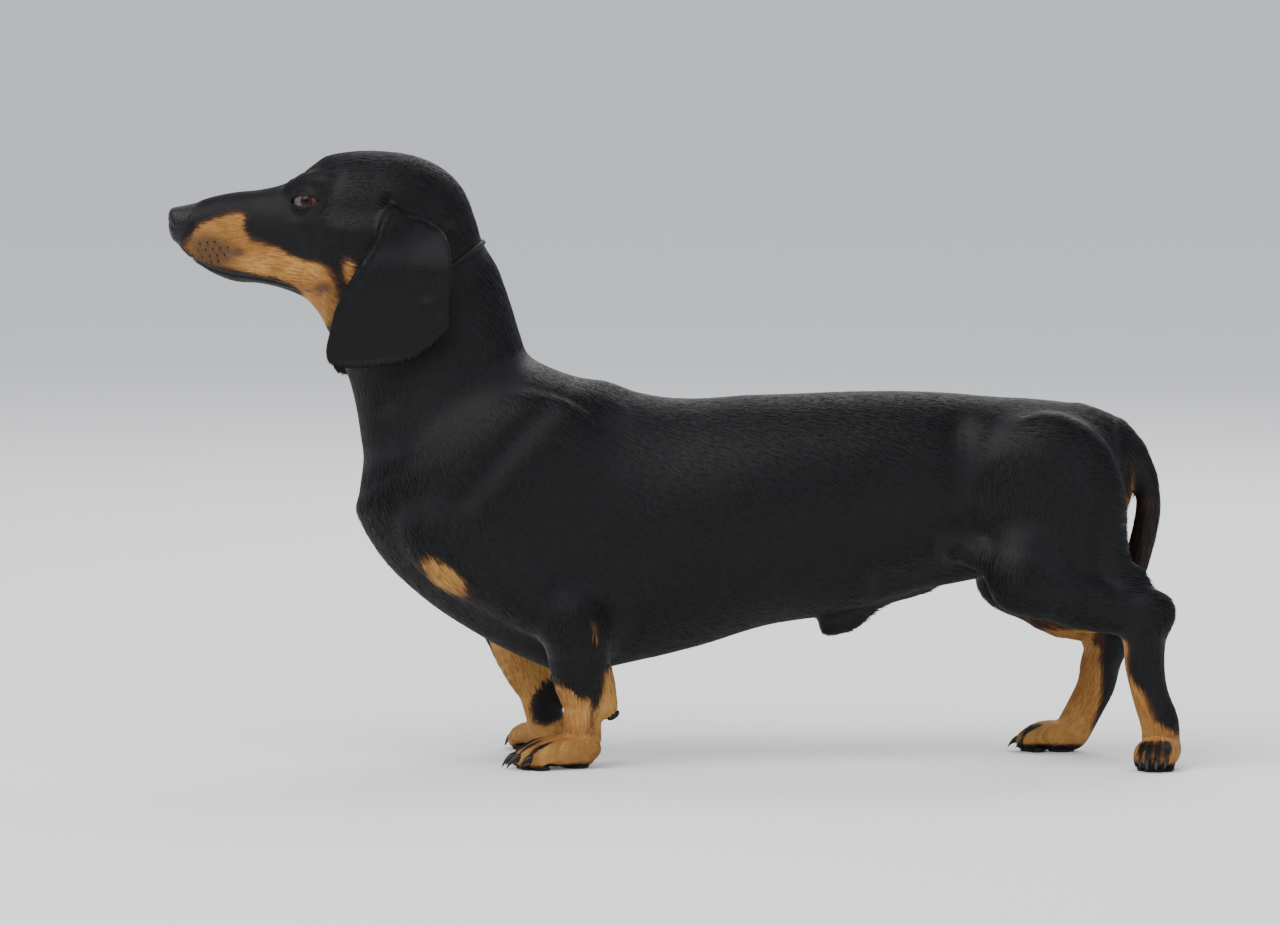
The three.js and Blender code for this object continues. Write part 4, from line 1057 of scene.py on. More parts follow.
class Markings:
    """Where the coat is tan, as about how far inside the tan each point lies."""

    # How high black is painted along the feet's bottom edges, as shade where they meet the floor and in part
    # the pads' dark rims, on the hind feet and on the forefeet.
    SOLE_PAINTED_SHADE = (6.0, 3.5)

    def __init__(self, dog: Dog) -> None:
        """Keeps the dog whose legs and ears the markings follow."""
        self.dog = dog

    def head(self, p: Points) -> Values:
        """The muzzle, the spots over the eyes and the spot on each cheek."""
        x, y, z = p.T
        wide = np.abs(y)
        tan = polygon(x, z, MUZZLE_TAN)
        cheek = np.minimum(ellipse(x, z, (-211, 320), (5.5, 10), 12), wide - 25)
        brows = [blob(p, (-238, side * 17, 383), (5, 4, 4)) - 2.2 for side in SIDES.values()]
        return np.minimum(np.maximum.reduce([tan, cheek, *brows]), (47.5 - wide) * 2)

    def chest(self, p: Points) -> Values:
        """The two spots on the forechest."""
        x, y, z = p.T
        spot = ellipse(x, z, (-151.5, 126), (18, 8.5), -37)
        return np.minimum(spot, np.abs(y) - 14)

    def forelegs(self, p: Points) -> Values:
        """The forelegs: tan to above the wrist outside and to the elbow inside, with black on the toes."""
        x, y, z = p.T
        wide = np.abs(y)
        inner = fade(52, 40, wide)
        ahead = fade(-58, -78, x) * (y < 0) + fade(-88, -104, x) * (y > 0)
        wrist = np.where(y < 0, FORELEGS["left"].wrist[0], FORELEGS["right"].wrist[0])
        hump = fade(wrist + 6, wrist + 12, x)
        top = 48 + 46 * inner + (10 * ahead + 18 * hump) * (1 - inner)
        tan = np.minimum(top - z, 118 - z)
        # A black patch on the right foreleg about its wrist.
        black = np.minimum(ellipse(x, z, (-81, 36), (12, 17), -30), y - 20)
        wedge = np.minimum(ellipse(x, z, (-50.5, 54), (3.4, 17), -8), wide - 48)
        toes = self.toes(p, "fore_")
        legs = self.near(p, [self.dog.legs["fore_" + name] for name in SIDES], 7, 12)
        legs = np.minimum(legs, wrist + 16 - x + 2 * np.maximum(66 - z, 0))
        near = np.maximum(legs, np.minimum(self.near(p, list(self.dog.tendons.values()), 7, 12), 66 - z))
        return np.minimum.reduce([tan, near, -black, -wedge, -toes])

    def hindlegs(self, p: Points) -> Values:
        """The hind legs: tan on the inner side, in front of the shin and on the feet."""
        x, y, z = p.T
        wide = np.abs(y)
        inner = 47.0 - wide + 6 * fade(60, 30, z)
        shin = 292.5 + 0.9 * np.clip(62 - z, 0, 12) + 0.45 * np.clip(50 - z, 0, 20)
        front = np.where(y < 0, shin, 268 + 0.22 * (z - 40)) - x
        dull = 0.1 + np.maximum(74 - z, 0)
        feet = 20 + (y < 0) * np.clip(14 - 0.65 * (x - 309), 0, 14)
        inside = np.minimum.reduce([inner, 99 - z, dull])
        tan = np.maximum.reduce([inside, np.minimum(front, 84 - z), feet - z])
        stripe = x - 281 + 0.3 * np.clip(36 - z, 0, 30)
        black = np.where(y < 0, np.minimum(x - 309, wide - 46), stripe)
        low = np.where(y < 0, 34 - 0.65 * (x - 309), 11)
        toes = self.toes(p, "hind_")
        near = self.near(p, [self.dog.legs["hind_" + name] for name in SIDES], 9, 10)
        return np.minimum.reduce([tan, near, -np.minimum(black, z - low), -toes])

    def near(self, p: Points, limbs: Sequence[Chain], reach: float, inside: float) -> Values:
        """How far within reach of some limbs each point lies, and off the mirror plane; all the feet are."""
        away = np.minimum.reduce([limb.distance(p) for limb in limbs])
        return np.minimum((reach - away) * 2 + 5 * np.maximum(38 - p[:, 2], 0), np.abs(p[:, 1]) - inside)

    def toes(self, p: Points, which: str) -> Values:
        """The thin black marks along the tops of the toes."""
        marks = np.full(len(p), -60.0)
        for name in SIDES:
            paw = self.dog.paws[which + name]
            for spread in TOES:
                rows = paw.toe(spread)
                centre = np.array(rows[2][:3]) + (0, 0, 5.5)
                offset = p - centre
                along, across = offset @ paw.forward, offset @ paw.across
                level = 5 * (1 - np.hypot(along / 7, across / 2.4))
                marks = np.maximum(marks, np.minimum(level, 5 - np.abs(offset[:, 2])))
        return marks

    def rear(self, p: Points) -> Values:
        """The patch under the tail and the brown of the rump between the legs."""
        x, y, z = p.T
        tail = self.dog.tail.distance(p)
        under = np.minimum(blob(p, (290, 0, 188), (18, 15, 25)), (tail - 1.2) * 2)
        behind = np.minimum.reduce([24 - np.abs(y), x - 262, 172 - z, z - 105, tail - 2])
        return np.maximum(under, behind * 0.5)

    def flecks(self, p: Points) -> Values:
        """The thin streak behind each elbow."""
        x, y, z = p.T
        return np.minimum(ellipse(x, z, (-52, 93), (1.7, 5), 18), np.abs(y) - 50)

    def smoke(self, p: Points) -> Values:
        """How dark and smoky the tan is at each point, from 0 to 1: round the nose and among the whiskers,
        and darker at the mouth's corners and between the hind legs.
        """
        x, y, z = p.T
        lip = 0.85 * fade(-4, 6, ellipse(x, z, (-301, 333), (19, 11), -20))
        smudge = fade(-1.5, 2, ellipse(x, z, (-284.5, 332), (5.5, 3.4)))
        corner = fade(-1.5, 2, ellipse(x, z, (-228.5, 310), (6, 4), 10))
        inner = fade(46, 36, np.abs(y)) * fade(90, 60, np.abs(x - 250)) * fade(80, 110, z)
        return np.maximum.reduce([lip, smudge, 0.9 * corner, 0.5 * inner])

    def level(self, p: Points) -> Values:
        """How far inside the tan each point lies, in millimetres, negative in the black, which includes shade
        painted as black along the feet's bottom edges.
        """
        parts = (self.head, self.chest, self.forelegs, self.hindlegs, self.rear, self.flecks)
        # Black painted as shade along the feet's bottom edges, by the floor.
        sole = np.where(p[:, 0] > 0, *self.SOLE_PAINTED_SHADE)
        return np.minimum(np.maximum.reduce([part(p) for part in parts]), (p[:, 2] - sole) * 1.5)


class Region(Enum):
    """Stretches of the body that the coat is laid out by."""

    TRUNK = 0
    FORELEG_LEFT = 1
    FORELEG_RIGHT = 2
    HINDLEG_LEFT = 3
    HINDLEG_RIGHT = 4
    TAIL = 5
    EAR_LEFT = 6
    EAR_RIGHT = 7


@dataclass(frozen=True)
class Patch:
    """A region's place on the flat layout, from 0 to 1, and its length and girth in millimetres."""

    low: tuple[float, float]
    high: tuple[float, float]
    length: float
    girth: float


LAYOUT = {
    Region.TRUNK: Patch((0.01, 0.45), (0.99, 0.99), 760, 330),
    Region.FORELEG_LEFT: Patch((0.01, 0.01), (0.15, 0.43), 110, 90),
    Region.FORELEG_RIGHT: Patch((0.17, 0.01), (0.31, 0.43), 110, 90),
    Region.HINDLEG_LEFT: Patch((0.33, 0.01), (0.47, 0.43), 200, 110),
    Region.HINDLEG_RIGHT: Patch((0.49, 0.01), (0.63, 0.43), 200, 110),
    Region.TAIL: Patch((0.65, 0.01), (0.75, 0.43), 210, 55),
    Region.EAR_LEFT: Patch((0.77, 0.01), (0.87, 0.43), 110, 160),
    Region.EAR_RIGHT: Patch((0.89, 0.01), (0.99, 0.43), 110, 160),
}


class Coat:
    """How the short coat lies: its regions, its direction and its flat layout."""

    def __init__(self, dog: Dog) -> None:
        """Keeps the dog and the regions' shapes."""
        self.dog = dog
        self.shapes = {
            Region.TRUNK: dog.trunk,
            Region.FORELEG_LEFT: dog.legs["fore_left"],
            Region.FORELEG_RIGHT: dog.legs["fore_right"],
            Region.HINDLEG_LEFT: dog.legs["hind_left"],
            Region.HINDLEG_RIGHT: dog.legs["hind_right"],
            Region.TAIL: dog.tail,
            Region.EAR_LEFT: dog.ears["left"],
            Region.EAR_RIGHT: dog.ears["right"],
        }

    def regions(self, p: Points) -> Values:
        """The region of each point, by the nearest of the regions' shapes."""
        away = np.stack([in_chunks(shape.distance, p) for shape in self.shapes.values()])
        away[Region.TRUNK.value] -= 1.5
        side = np.sign(p[:, 1])
        for region, wrong in ((Region.EAR_LEFT, side > 0), (Region.EAR_RIGHT, side < 0)):
            away[region.value][wrong] = 99
        return away.argmin(0)

    def layout(self, points: Points, faces: Values) -> tuple[Values, Values]:
        """Where each corner of each triangle lies on the flat layout, and in millimetres along and round."""
        middles = points[faces].mean(1)
        region = self.regions(middles)
        place = np.zeros((len(faces), 3, 2))
        comb = np.zeros((len(faces), 3, 3))
        for r, shape in self.shapes.items():
            mine = np.nonzero(region == r.value)[0]
            if not len(mine):
                continue
            patch = LAYOUT[r]
            _, angle = shape.chart(middles[mine])
            along, turn = shape.chart(points[faces[mine]].reshape(-1, 3))
            along, turn = along.reshape(-1, 3), turn.reshape(-1, 3)
            turn = turn - np.round(turn - angle[:, None])
            flat = np.stack([along, np.clip(turn, 0, 1)], 2)
            place[mine] = mix(np.array(patch.low), np.array(patch.high), flat)
            apart = np.full_like(along, 40.0 * r.value)
            comb[mine] = np.stack([along * patch.length, turn * patch.girth, apart], 2)
        return place.reshape(-1, 2), comb.reshape(-1, 3)

    def flow(self, p: Points, normals: Values) -> Values:
        """The way that the hairs lie at each point, along the surface."""
        way = self.dog.trunk.heading(p) + np.array([0, 0, -0.22])
        for region, shape in self.shapes.items():
            if region in (Region.TRUNK, Region.EAR_LEFT, Region.EAR_RIGHT):
                continue
            away = in_chunks(shape.distance, p)
            share = fade(14, 2, away)[:, None]
            way = mix(way, shape.heading(p), share)
        for ear in self.dog.ears.values():
            share = fade(5, 1, in_chunks(ear.distance, p)) * fade(362, 350, p[:, 2])
            share = np.where(p[:, 1] * ear.side > 0, share, 0)[:, None]
            way = mix(way, ear.heading(p), share)
        for paw in self.dog.paws.values():
            centre = np.array([*paw.heel, 0.0]) + paw.forward * 18
            near = norms((p - centre)[:, :2]) < 40
            share = (fade(30, 18, p[:, 2]) * near)[:, None]
            way = mix(way, paw.forward + np.array([0, 0, -0.5]), share)
        way = way - (way * normals).sum(1)[:, None] * normals
        return way / (norms(way)[:, None] + 1e-9)


Colour = Place


def colour(red: int, green: int, blue: int) -> Colour:
    """A screen colour from 0 to 255 as light."""
    parts = [c / 255 for c in (red, green, blue)]
    return tuple(p / 12.92 if p <= 0.04045 else ((p + 0.055) / 1.055) ** 2.4 for p in parts)


class Graph:
    """A tree of nodes that is filled in through one method."""

    def __init__(self, tree: bpy.types.NodeTree) -> None:
        """Empties the tree."""
        self.tree = tree
        tree.nodes.clear()

    def node(self, kind: str, settings: dict | None = None, inputs: dict | None = None) -> bpy.types.Node:
        """Adds a node.

        Args:
            kind: the node's type.
            settings: its properties, which are set first.
            inputs: values, sockets or numbers for its inputs, by name, identifier or place.

        Returns:
            The new node.
        """
        made = self.tree.nodes.new(kind)
        for name, value in (settings or {}).items():
            setattr(made, name, value)
        for key, value in (inputs or {}).items():
            named = {s.identifier: s for s in made.inputs} | {s.name: s for s in reversed(made.inputs)}
            socket = made.inputs[key] if isinstance(key, int) else named[key]
            value = getattr(value, "socket", value)
            if isinstance(value, Socket):
                self.tree.links.new(value, socket)
            else:
                socket.default_value = value
        return made


@dataclass(frozen=True)
class Number:
    """A number that changes over a surface, which Python's operators turn into Math nodes."""

    graph: Graph
    socket: Socket

    def math(self, operation: str, *others: "Number | float") -> "Number":
        """A Math node with this number first."""
        inputs = dict(enumerate([self, *others]))
        made = self.graph.node("ShaderNodeMath", {"operation": operation}, inputs)
        return Number(self.graph, made.outputs[0])

    def __add__(self, other: "Number | float") -> "Number":
        """This plus the other."""
        return self.math("ADD", other)

    __radd__ = __add__

    def __mul__(self, other: "Number | float") -> "Number":
        """This times the other."""
        return self.math("MULTIPLY", other)

    __rmul__ = __mul__

    def __sub__(self, other: "Number | float") -> "Number":
        """This less the other."""
        return self.math("SUBTRACT", other)

    def __rsub__(self, other: float) -> "Number":
        """The other less this."""
        return self * -1.0 + other

    def __pow__(self, other: "Number | float") -> "Number":
        """This to the power of the other."""
        return self.math("POWER", other)

    def rise(self, low: float, high: float, start: float = 0.0, end: float = 1.0) -> "Number":
        """A smooth change from start to end as this goes from low to high."""
        inputs = {"Value": self, "From Min": low, "From Max": high, "To Min": start, "To Max": end}
        made = self.graph.node("ShaderNodeMapRange", {"interpolation_type": "SMOOTHSTEP"}, inputs)
        return Number(self.graph, made.outputs["Result"])


class Shader(Graph):
    """A material's nodes, round one principled shader."""

    def __init__(self, name: str) -> None:
        """Makes the material with its shader and output."""
        self.material = bpy.data.materials.new(name)
        self.material.use_nodes = True
        super().__init__(self.material.node_tree)
        self.surface = self.node("ShaderNodeBsdfPrincipled")
        self.node("ShaderNodeOutputMaterial", None, {"Surface": self.surface.outputs["BSDF"]})

    def set(self, **constants: float | Sequence[float]) -> None:
        """Sets constants on the shader's own sockets, by name with underscores for spaces."""
        for name, value in constants.items():
            self.surface.inputs[name.replace("_", " ")].default_value = value

    def feed(self, name: str, value: Number | Socket) -> None:
        """Links a pattern to one of the shader's sockets."""
        self.tree.links.new(getattr(value, "socket", value), self.surface.inputs[name])

    def number(self, attribute: str) -> Number:
        """A number stored on the mesh."""
        made = self.node("ShaderNodeAttribute", {"attribute_name": attribute})
        return Number(self, made.outputs["Fac"])

    def vector(self, attribute: str) -> Socket:
        """A vector stored on the mesh."""
        return self.node("ShaderNodeAttribute", {"attribute_name": attribute}).outputs["Vector"]

    def place(self) -> Socket:
        """The place in the object's own coordinates, in millimetres."""
        return self.stretched(self.node("ShaderNodeTexCoord").outputs["Object"], (1 / MM, 1 / MM, 1 / MM))

    def stretched(self, vector: Socket, by: Sequence[float]) -> Socket:
        """A vector multiplied part by part."""
        made = self.node("ShaderNodeVectorMath", {"operation": "MULTIPLY"}, {0: vector, 1: by})
        return made.outputs["Vector"]

    def noise(
        self, vector: Socket, scale: float, detail: float = 2.0, rough: float = 0.5
    ) -> Number:
        """A soft noise from 0 to 1."""
        inputs = {"Vector": vector, "Scale": scale, "Detail": detail, "Roughness": rough}
        return Number(self, self.node("ShaderNodeTexNoise", None, inputs).outputs["Fac"])

    def cells(self, vector: Socket, scale: float) -> Number:
        """The distance to the nearest of scattered points."""
        inputs = {"Vector": vector, "Scale": scale}
        return Number(self, self.node("ShaderNodeTexVoronoi", None, inputs).outputs["Distance"])

    def blend(
        self, share: Number, first: Colour | Socket, second: Colour | Socket
    ) -> Socket:
        """A colour between two by a share."""
        ends = {
            key: (*value, 1.0) if isinstance(value, tuple) else value
            for key, value in (("A_Color", first), ("B_Color", second))
        }
        made = self.node("ShaderNodeMix", {"data_type": "RGBA"}, {"Factor_Float": share, **ends})
        return made.outputs[2]

    def bump(self, height: Number, deep: float) -> None:
        """Raises the surface by the height times a depth in millimetres."""
        made = self.node("ShaderNodeBump", None, {"Height": height, "Distance": deep * MM, "Strength": 1.0})
        self.feed("Normal", made.outputs["Normal"])


@dataclass(frozen=True)
class CoatFinish:
    """Short satin fur, black with tan markings, with streaks along the way it lies."""

    black: Colour = colour(7, 7, 8)
    grey: Colour = colour(18, 18, 20)
    rust: Colour = colour(72, 41, 21)
    tan: Colour = colour(136, 88, 40)
    pale: Colour = colour(180, 134, 72)
    smoke: Colour = colour(88, 62, 40)
    bare: Colour = colour(16, 14, 15)
    roughness: float = 0.52

    def material(self, name: str, deep: float) -> Material:
        """Builds the material, with streaks raised by a depth in millimetres."""
        shader = Shader(name)
        comb = shader.vector("comb")
        streak = shader.noise(shader.stretched(comb, (0.11, 0.85, 1.0)), 1.0, 3.0, 0.6)
        fine = shader.noise(shader.stretched(comb, (0.3, 2.4, 1.0)), 1.0, 2.0, 0.6)
        broad = shader.noise(shader.place(), 0.035, 2.0)
        level = shader.number("tan") + (streak - 0.5) * 5.0 + (fine - 0.5) * 3.0
        tan = level.rise(-2.4, 2.2)
        light = (level + (broad - 0.5) * 8.0).rise(-0.5, 3.0)
        pale = ((streak + broad * 0.6) * (1 / 1.6)).rise(0.38, 0.62)
        black = shader.blend((streak * 0.6 + fine * 0.4).rise(0.3, 0.75), self.black, self.grey)
        warm = shader.blend(pale, self.tan, self.pale)
        smoky = shader.number("smoke") * 1.1 + (streak - 0.5) * 0.6
        marked = shader.blend(smoky, shader.blend(light, self.rust, warm), self.smoke)
        furred = shader.blend(tan, black, marked)
        bare = shader.number("bare")
        shader.feed("Base Color", shader.blend(bare, furred, self.bare))
        shader.feed("Roughness", (fine - 0.5) * 0.16 + tan * 0.14 - bare * 0.16 + self.roughness)
        shader.set(Specular_IOR_Level=0.2, Sheen_Weight=0.02, Sheen_Roughness=0.4)
        shader.bump((streak * 0.7 + fine * 0.3) * (1.0 - bare), deep)
        return shader.material


@dataclass(frozen=True)
class EyeFinish:
    """A dark reddish brown eye with a black pupil and a moist brown rim; in front of the iris the third
    eyelid shows with a painted reflection of the bright surroundings, and behind it the corner is pink.
    """

    pupil: Colour = colour(6, 5, 6)
    iris: Colour = colour(58, 26, 15)
    deep: Colour = colour(22, 10, 7)
    # Greyish purple of the third eyelid, with a painted reflection of the bright surroundings on the cornea.
    lid_and_reflection: Colour = colour(84, 72, 80)
    pink: Colour = colour(120, 66, 64)
    pupil_radius: float = 1.9
    iris_radius: float = 3.8

    def material(self) -> Material:
        """Builds the material from the distance to the eye's axis, in millimetres."""
        shader = Shader("eye")
        ring = shader.number("ring")
        mottle = shader.noise(shader.place(), 0.9, 3.0)
        fibres = shader.blend(mottle.rise(0.35, 0.65), self.deep, self.iris)
        limbus = shader.blend(ring.rise(self.iris_radius - 1.2, self.iris_radius), fibres, self.deep)
        # The eye's corners: the third eyelid with a painted reflection in front, pink at the rear.
        sclera_and_reflection = shader.blend(shader.number("rear").rise(-2.0, 3.0), self.lid_and_reflection, self.pink)
        outer = shader.blend(ring.rise(self.iris_radius - 0.3, self.iris_radius + 0.6), limbus, sclera_and_reflection)
        shader.feed(
            "Base Color",
            shader.blend(ring.rise(self.pupil_radius - 0.3, self.pupil_radius + 0.3), self.pupil, outer),
        )
        shader.set(Roughness=0.12, Specular_IOR_Level=0.12, Coat_Weight=0.15, Coat_Roughness=0.03)
        return shader.material


@dataclass(frozen=True)
class HideFinish:
    """Bare hide, leather or horn: a mottled colour with a pebbled or grained surface."""

    name: str
    dark: Colour
    light: Colour
    roughness: float
    grain: float
    deep: float
    pebbled: bool = True
    moist: float = 0.0

    def material(self) -> Material:
        """Builds the material, with a grain of a size and depth in millimetres."""
        shader = Shader(self.name)
        place = shader.place()
        mottle = shader.noise(place, 0.35 / self.grain, 3.0)
        if self.pebbled:
            height = shader.cells(place, 1.0 / self.grain).rise(0.75, 0.1)
        else:
            height = shader.noise(place, 1.0 / self.grain, 3.0)
        share = (mottle * 0.7 + height * 0.3).rise(0.3, 0.8)
        shader.feed("Base Color", shader.blend(share, self.dark, self.light))
        shader.feed("Roughness", (mottle - 0.5) * 0.2 + self.roughness)
        shader.set(Specular_IOR_Level=0.25, Coat_Weight=self.moist, Coat_Roughness=0.25)
        shader.bump(height, self.deep)
        return shader.material


COAT = CoatFinish()
EYE = EyeFinish()
NOSE = HideFinish("nose", colour(8, 8, 9), colour(17, 17, 20), 0.42, 1.25, 0.2, True, 0.08)
PAD = HideFinish("pad", colour(20, 18, 18), colour(46, 42, 41), 0.7, 1.3, 0.25)
HORN = HideFinish("claw", colour(14, 12, 11), colour(52, 46, 42), 0.35, 2.6, 0.03, False)
LEATHER = HideFinish("collar", colour(5, 5, 6), colour(13, 13, 14), 0.6, 0.9, 0.12, True)
BRISTLE = HideFinish("whisker", colour(12, 12, 12), colour(30, 30, 30), 0.4, 2.0, 0.02, False)


def store(mesh: bpy.types.Mesh, **values: Values) -> None:
    """Stores numbers or vectors by name on a mesh's points or, where there are as many, on its corners."""
    kinds = {1: "FLOAT", 2: "FLOAT2", 3: "FLOAT_VECTOR"}
    for name, rows in values.items():
        wide = rows.shape[1] if rows.ndim > 1 else 1
        domain = "POINT" if len(rows) == len(mesh.vertices) else "CORNER"
        layer = mesh.attributes.new(name, kinds[wide], domain)
        kept = np.ascontiguousarray(rows, np.float32).ravel()
        layer.data.foreach_set("value" if wide == 1 else "vector", kept)


def make_piece(
    name: str, points: Points, faces: Sequence[Sequence[int]] | Values, material: Material
) -> Piece:
    """A smooth object from points in millimetres and faces, with one material."""
    mesh = bpy.data.meshes.new(name)
    rows = faces.tolist() if isinstance(faces, np.ndarray) else faces
    mesh.from_pydata((np.asarray(points) * MM).tolist(), [], rows)
    mesh.validate(clean_customdata=False)
    mesh.shade_smooth()
    mesh.materials.append(material)
    piece = bpy.data.objects.new(name, mesh)
    bpy.context.scene.collection.objects.link(piece)
    return piece


def hand_over(piece: Piece, slot: Slot, *nodes: str) -> Piece:
    """Fixes a piece to the dog and hides the nodes that it replaces."""
    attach(piece, "root")
    if nodes:
        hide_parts(*nodes)
    LOG.info("%s: %d faces", piece.name, len(piece.data.polygons))
    return piece


class Planting(Graph):
    """A Geometry Nodes tree that plants copies of one small shape over a mesh's faces or on its points.

    The mesh carries what the copies need: flow, the way a copy points; upward, the way its top faces, on
    points; size, its length, width and height in millimetres; and cover, how many grow on a square
    millimetre, on faces.
    """

    INPUTS = (("Shape", "Object"), ("Lift", "Float"), ("Spread", "Float"), ("Seed", "Int"))
    # The shortest and longest copies, and the least and greatest tilt, as shares of what is asked for.
    SIZES = (0.75, 1.2)
    TILTS = (-1.3, -0.6)
    PATCH = (0.003, 0.003, 0.0)

    def __init__(self, name: str, material: Material, on_faces: bool) -> None:
        """Builds the tree."""
        super().__init__(bpy.data.node_groups.new(name, "GeometryNodeTree"))
        face = self.tree.interface
        face.new_socket("Geometry", in_out="OUTPUT", socket_type="NodeSocketGeometry")
        face.new_socket("Geometry", in_out="INPUT", socket_type="NodeSocketGeometry")
        for label, kind in self.INPUTS:
            face.new_socket(label, in_out="INPUT", socket_type="NodeSocket" + kind)
        given = self.node("NodeGroupInput").outputs
        if on_faces:
            cover = self.times(self.named("cover"), MM**-2)
            spots = self.node(
                "GeometryNodeDistributePointsOnFaces",
                {"distribute_method": "RANDOM"},
                {"Mesh": given["Geometry"], "Density": cover, "Seed": given["Seed"]},
            )
            top = spots.outputs["Normal"]
            kept = self.node(
                "GeometryNodeStoreNamedAttribute",
                {"data_type": "FLOAT_VECTOR", "domain": "POINT"},
                {"Geometry": spots.outputs["Points"], "Name": "top", "Value": top},
            )
            points = kept.outputs[0]
        else:
            made = self.node("GeometryNodeMeshToPoints", None, {"Mesh": given["Geometry"]})
            points, top = made.outputs["Points"], self.named("upward", "FLOAT_VECTOR")
        turned = self.node(
            "FunctionNodeAxesToRotation",
            {"primary_axis": "Z", "secondary_axis": "X"},
            {"Primary Axis": top, "Secondary Axis": self.named("flow", "FLOAT_VECTOR")},
        )
        tilt = self.times(self.chance(*self.TILTS, 4), given["Lift"])
        either = self.times(given["Spread"], -1.0), given["Spread"]
        turns = {0: self.chance(*either, 1), 1: tilt, 2: self.chance(*either, 2)}
        lean = self.node("ShaderNodeCombineXYZ", None, turns)
        rotation = self.node(
            "FunctionNodeRotateRotation",
            {"rotation_space": "LOCAL"},
            {"Rotation": turned.outputs[0], "Rotate By": lean.outputs[0]},
        )
        share = self.chance(*self.SIZES, 5) if on_faces else 1.0
        size = self.node(
            "ShaderNodeVectorMath",
            {"operation": "SCALE"},
            {0: self.named("size", "FLOAT_VECTOR"), "Scale": share},
        )
        shape = self.node("GeometryNodeObjectInfo", None, {"Object": given["Shape"]})
        planted = self.node(
            "GeometryNodeInstanceOnPoints",
            None,
            {
                "Points": points,
                "Instance": shape.outputs["Geometry"],
                "Rotation": rotation.outputs[0],
                "Scale": size.outputs[0],
            },
        )
        real = self.node("GeometryNodeRealizeInstances", None, {"Geometry": planted.outputs[0]}).outputs[0]
        if on_faces:
            real = self.patched(real)
        dressed = self.node("GeometryNodeSetMaterial", None, {"Geometry": real, "Material": material})
        self.node("NodeGroupOutput", None, {0: dressed.outputs[0]})

    def named(self, name: str, kind: str = "FLOAT") -> Socket:
        """A value that the mesh carries."""
        return self.node("GeometryNodeInputNamedAttribute", {"data_type": kind}, {"Name": name}).outputs[0]

    def times(self, first: Socket, second: Socket | float) -> Socket:
        """The product of two numbers."""
        return self.node("ShaderNodeMath", {"operation": "MULTIPLY"}, {0: first, 1: second}).outputs[0]

    def chance(
        self, low: Socket | float, high: Socket | float, seed: int
    ) -> Socket:
        """A random number for each copy, from low to high."""
        inputs = {"Min_001": low, "Max_001": high, "Seed": seed}
        return self.node("FunctionNodeRandomValue", {"data_type": "FLOAT"}, inputs).outputs[1]

    def patched(self, geometry: Socket) -> Socket:
        """Gives each copy its own small patch at its root's place on the flat layout."""
        own = self.node(
            "ShaderNodeVectorMath",
            {"operation": "MULTIPLY_ADD"},
            {
                0: self.named("patch", "FLOAT_VECTOR"),
                1: self.PATCH,
                2: self.named("lay", "FLOAT_VECTOR"),
            },
        )
        stored = self.node(
            "GeometryNodeStoreNamedAttribute",
            {"data_type": "FLOAT2", "domain": "CORNER"},
            {"Geometry": geometry, "Name": "OFBake", "Value": own.outputs[0]},
        )
        for name in ("flow", "size", "cover", "lay", "patch"):
            inputs = {"Geometry": stored.outputs[0], "Name": name}
            stored = self.node("GeometryNodeRemoveAttribute", None, inputs)
        return stored.outputs[0]

    def plant(self, bed: Piece, shape: Piece, **values: float | int) -> None:
        """Turns a bed of faces or points into a plain mesh of the planted copies."""
        modifier = bed.modifiers.new("Planting", "NODES")
        modifier.node_group = self.tree
        for item in self.tree.interface.items_tree:
            if item.item_type == "SOCKET" and item.in_out == "INPUT" and item.name != "Geometry":
                modifier[item.identifier] = shape if item.name == "Shape" else values[item.name]
        bed.update_tag()
        graph = bpy.context.evaluated_depsgraph_get()
        planted = bpy.data.meshes.new_from_object(bed.evaluated_get(graph), depsgraph=graph)
        bed.modifiers.clear()
        planted.name = bed.name
        bed.data = planted
        planted.shade_smooth()
        if "top" in planted.attributes:
            self.soften(planted)

    @staticmethod
    def soften(mesh: bpy.types.Mesh) -> None:
        """Bends the copies' normals towards the surface's, so that they share its sheen."""
        count = len(mesh.vertices)
        top, own = np.empty(count * 3, np.float32), np.empty(count * 3, np.float32)
        mesh.attributes["top"].data.foreach_get("vector", top)
        mesh.vertices.foreach_get("normal", own)
        normal = 1.0 * top.reshape(-1, 3) + 0.15 * own.reshape(-1, 3)
        normal /= norms(normal)[:, None]
        mesh.attributes.remove(mesh.attributes["top"])
        mesh.normals_split_custom_set_from_vertices(normal.tolist())


def seed_shape(
    name: str, points: Sequence[Sequence[float]], faces: Sequence[Sequence[int]]
) -> Piece:
    """A small hidden shape to plant, given in parts of its length, width and height."""
    mesh = bpy.data.meshes.new(name)
    mesh.from_pydata([tuple(c * MM for c in p) for p in points], [], faces)
    patch = mesh.uv_layers.new(name="patch")
    for loop in mesh.loops:
        x, y, _ = points[loop.vertex_index]
        patch.data[loop.index].uv = (min(max(x, 0.0), 1.0), y + 0.5)
    return bpy.data.objects.new(name, mesh)


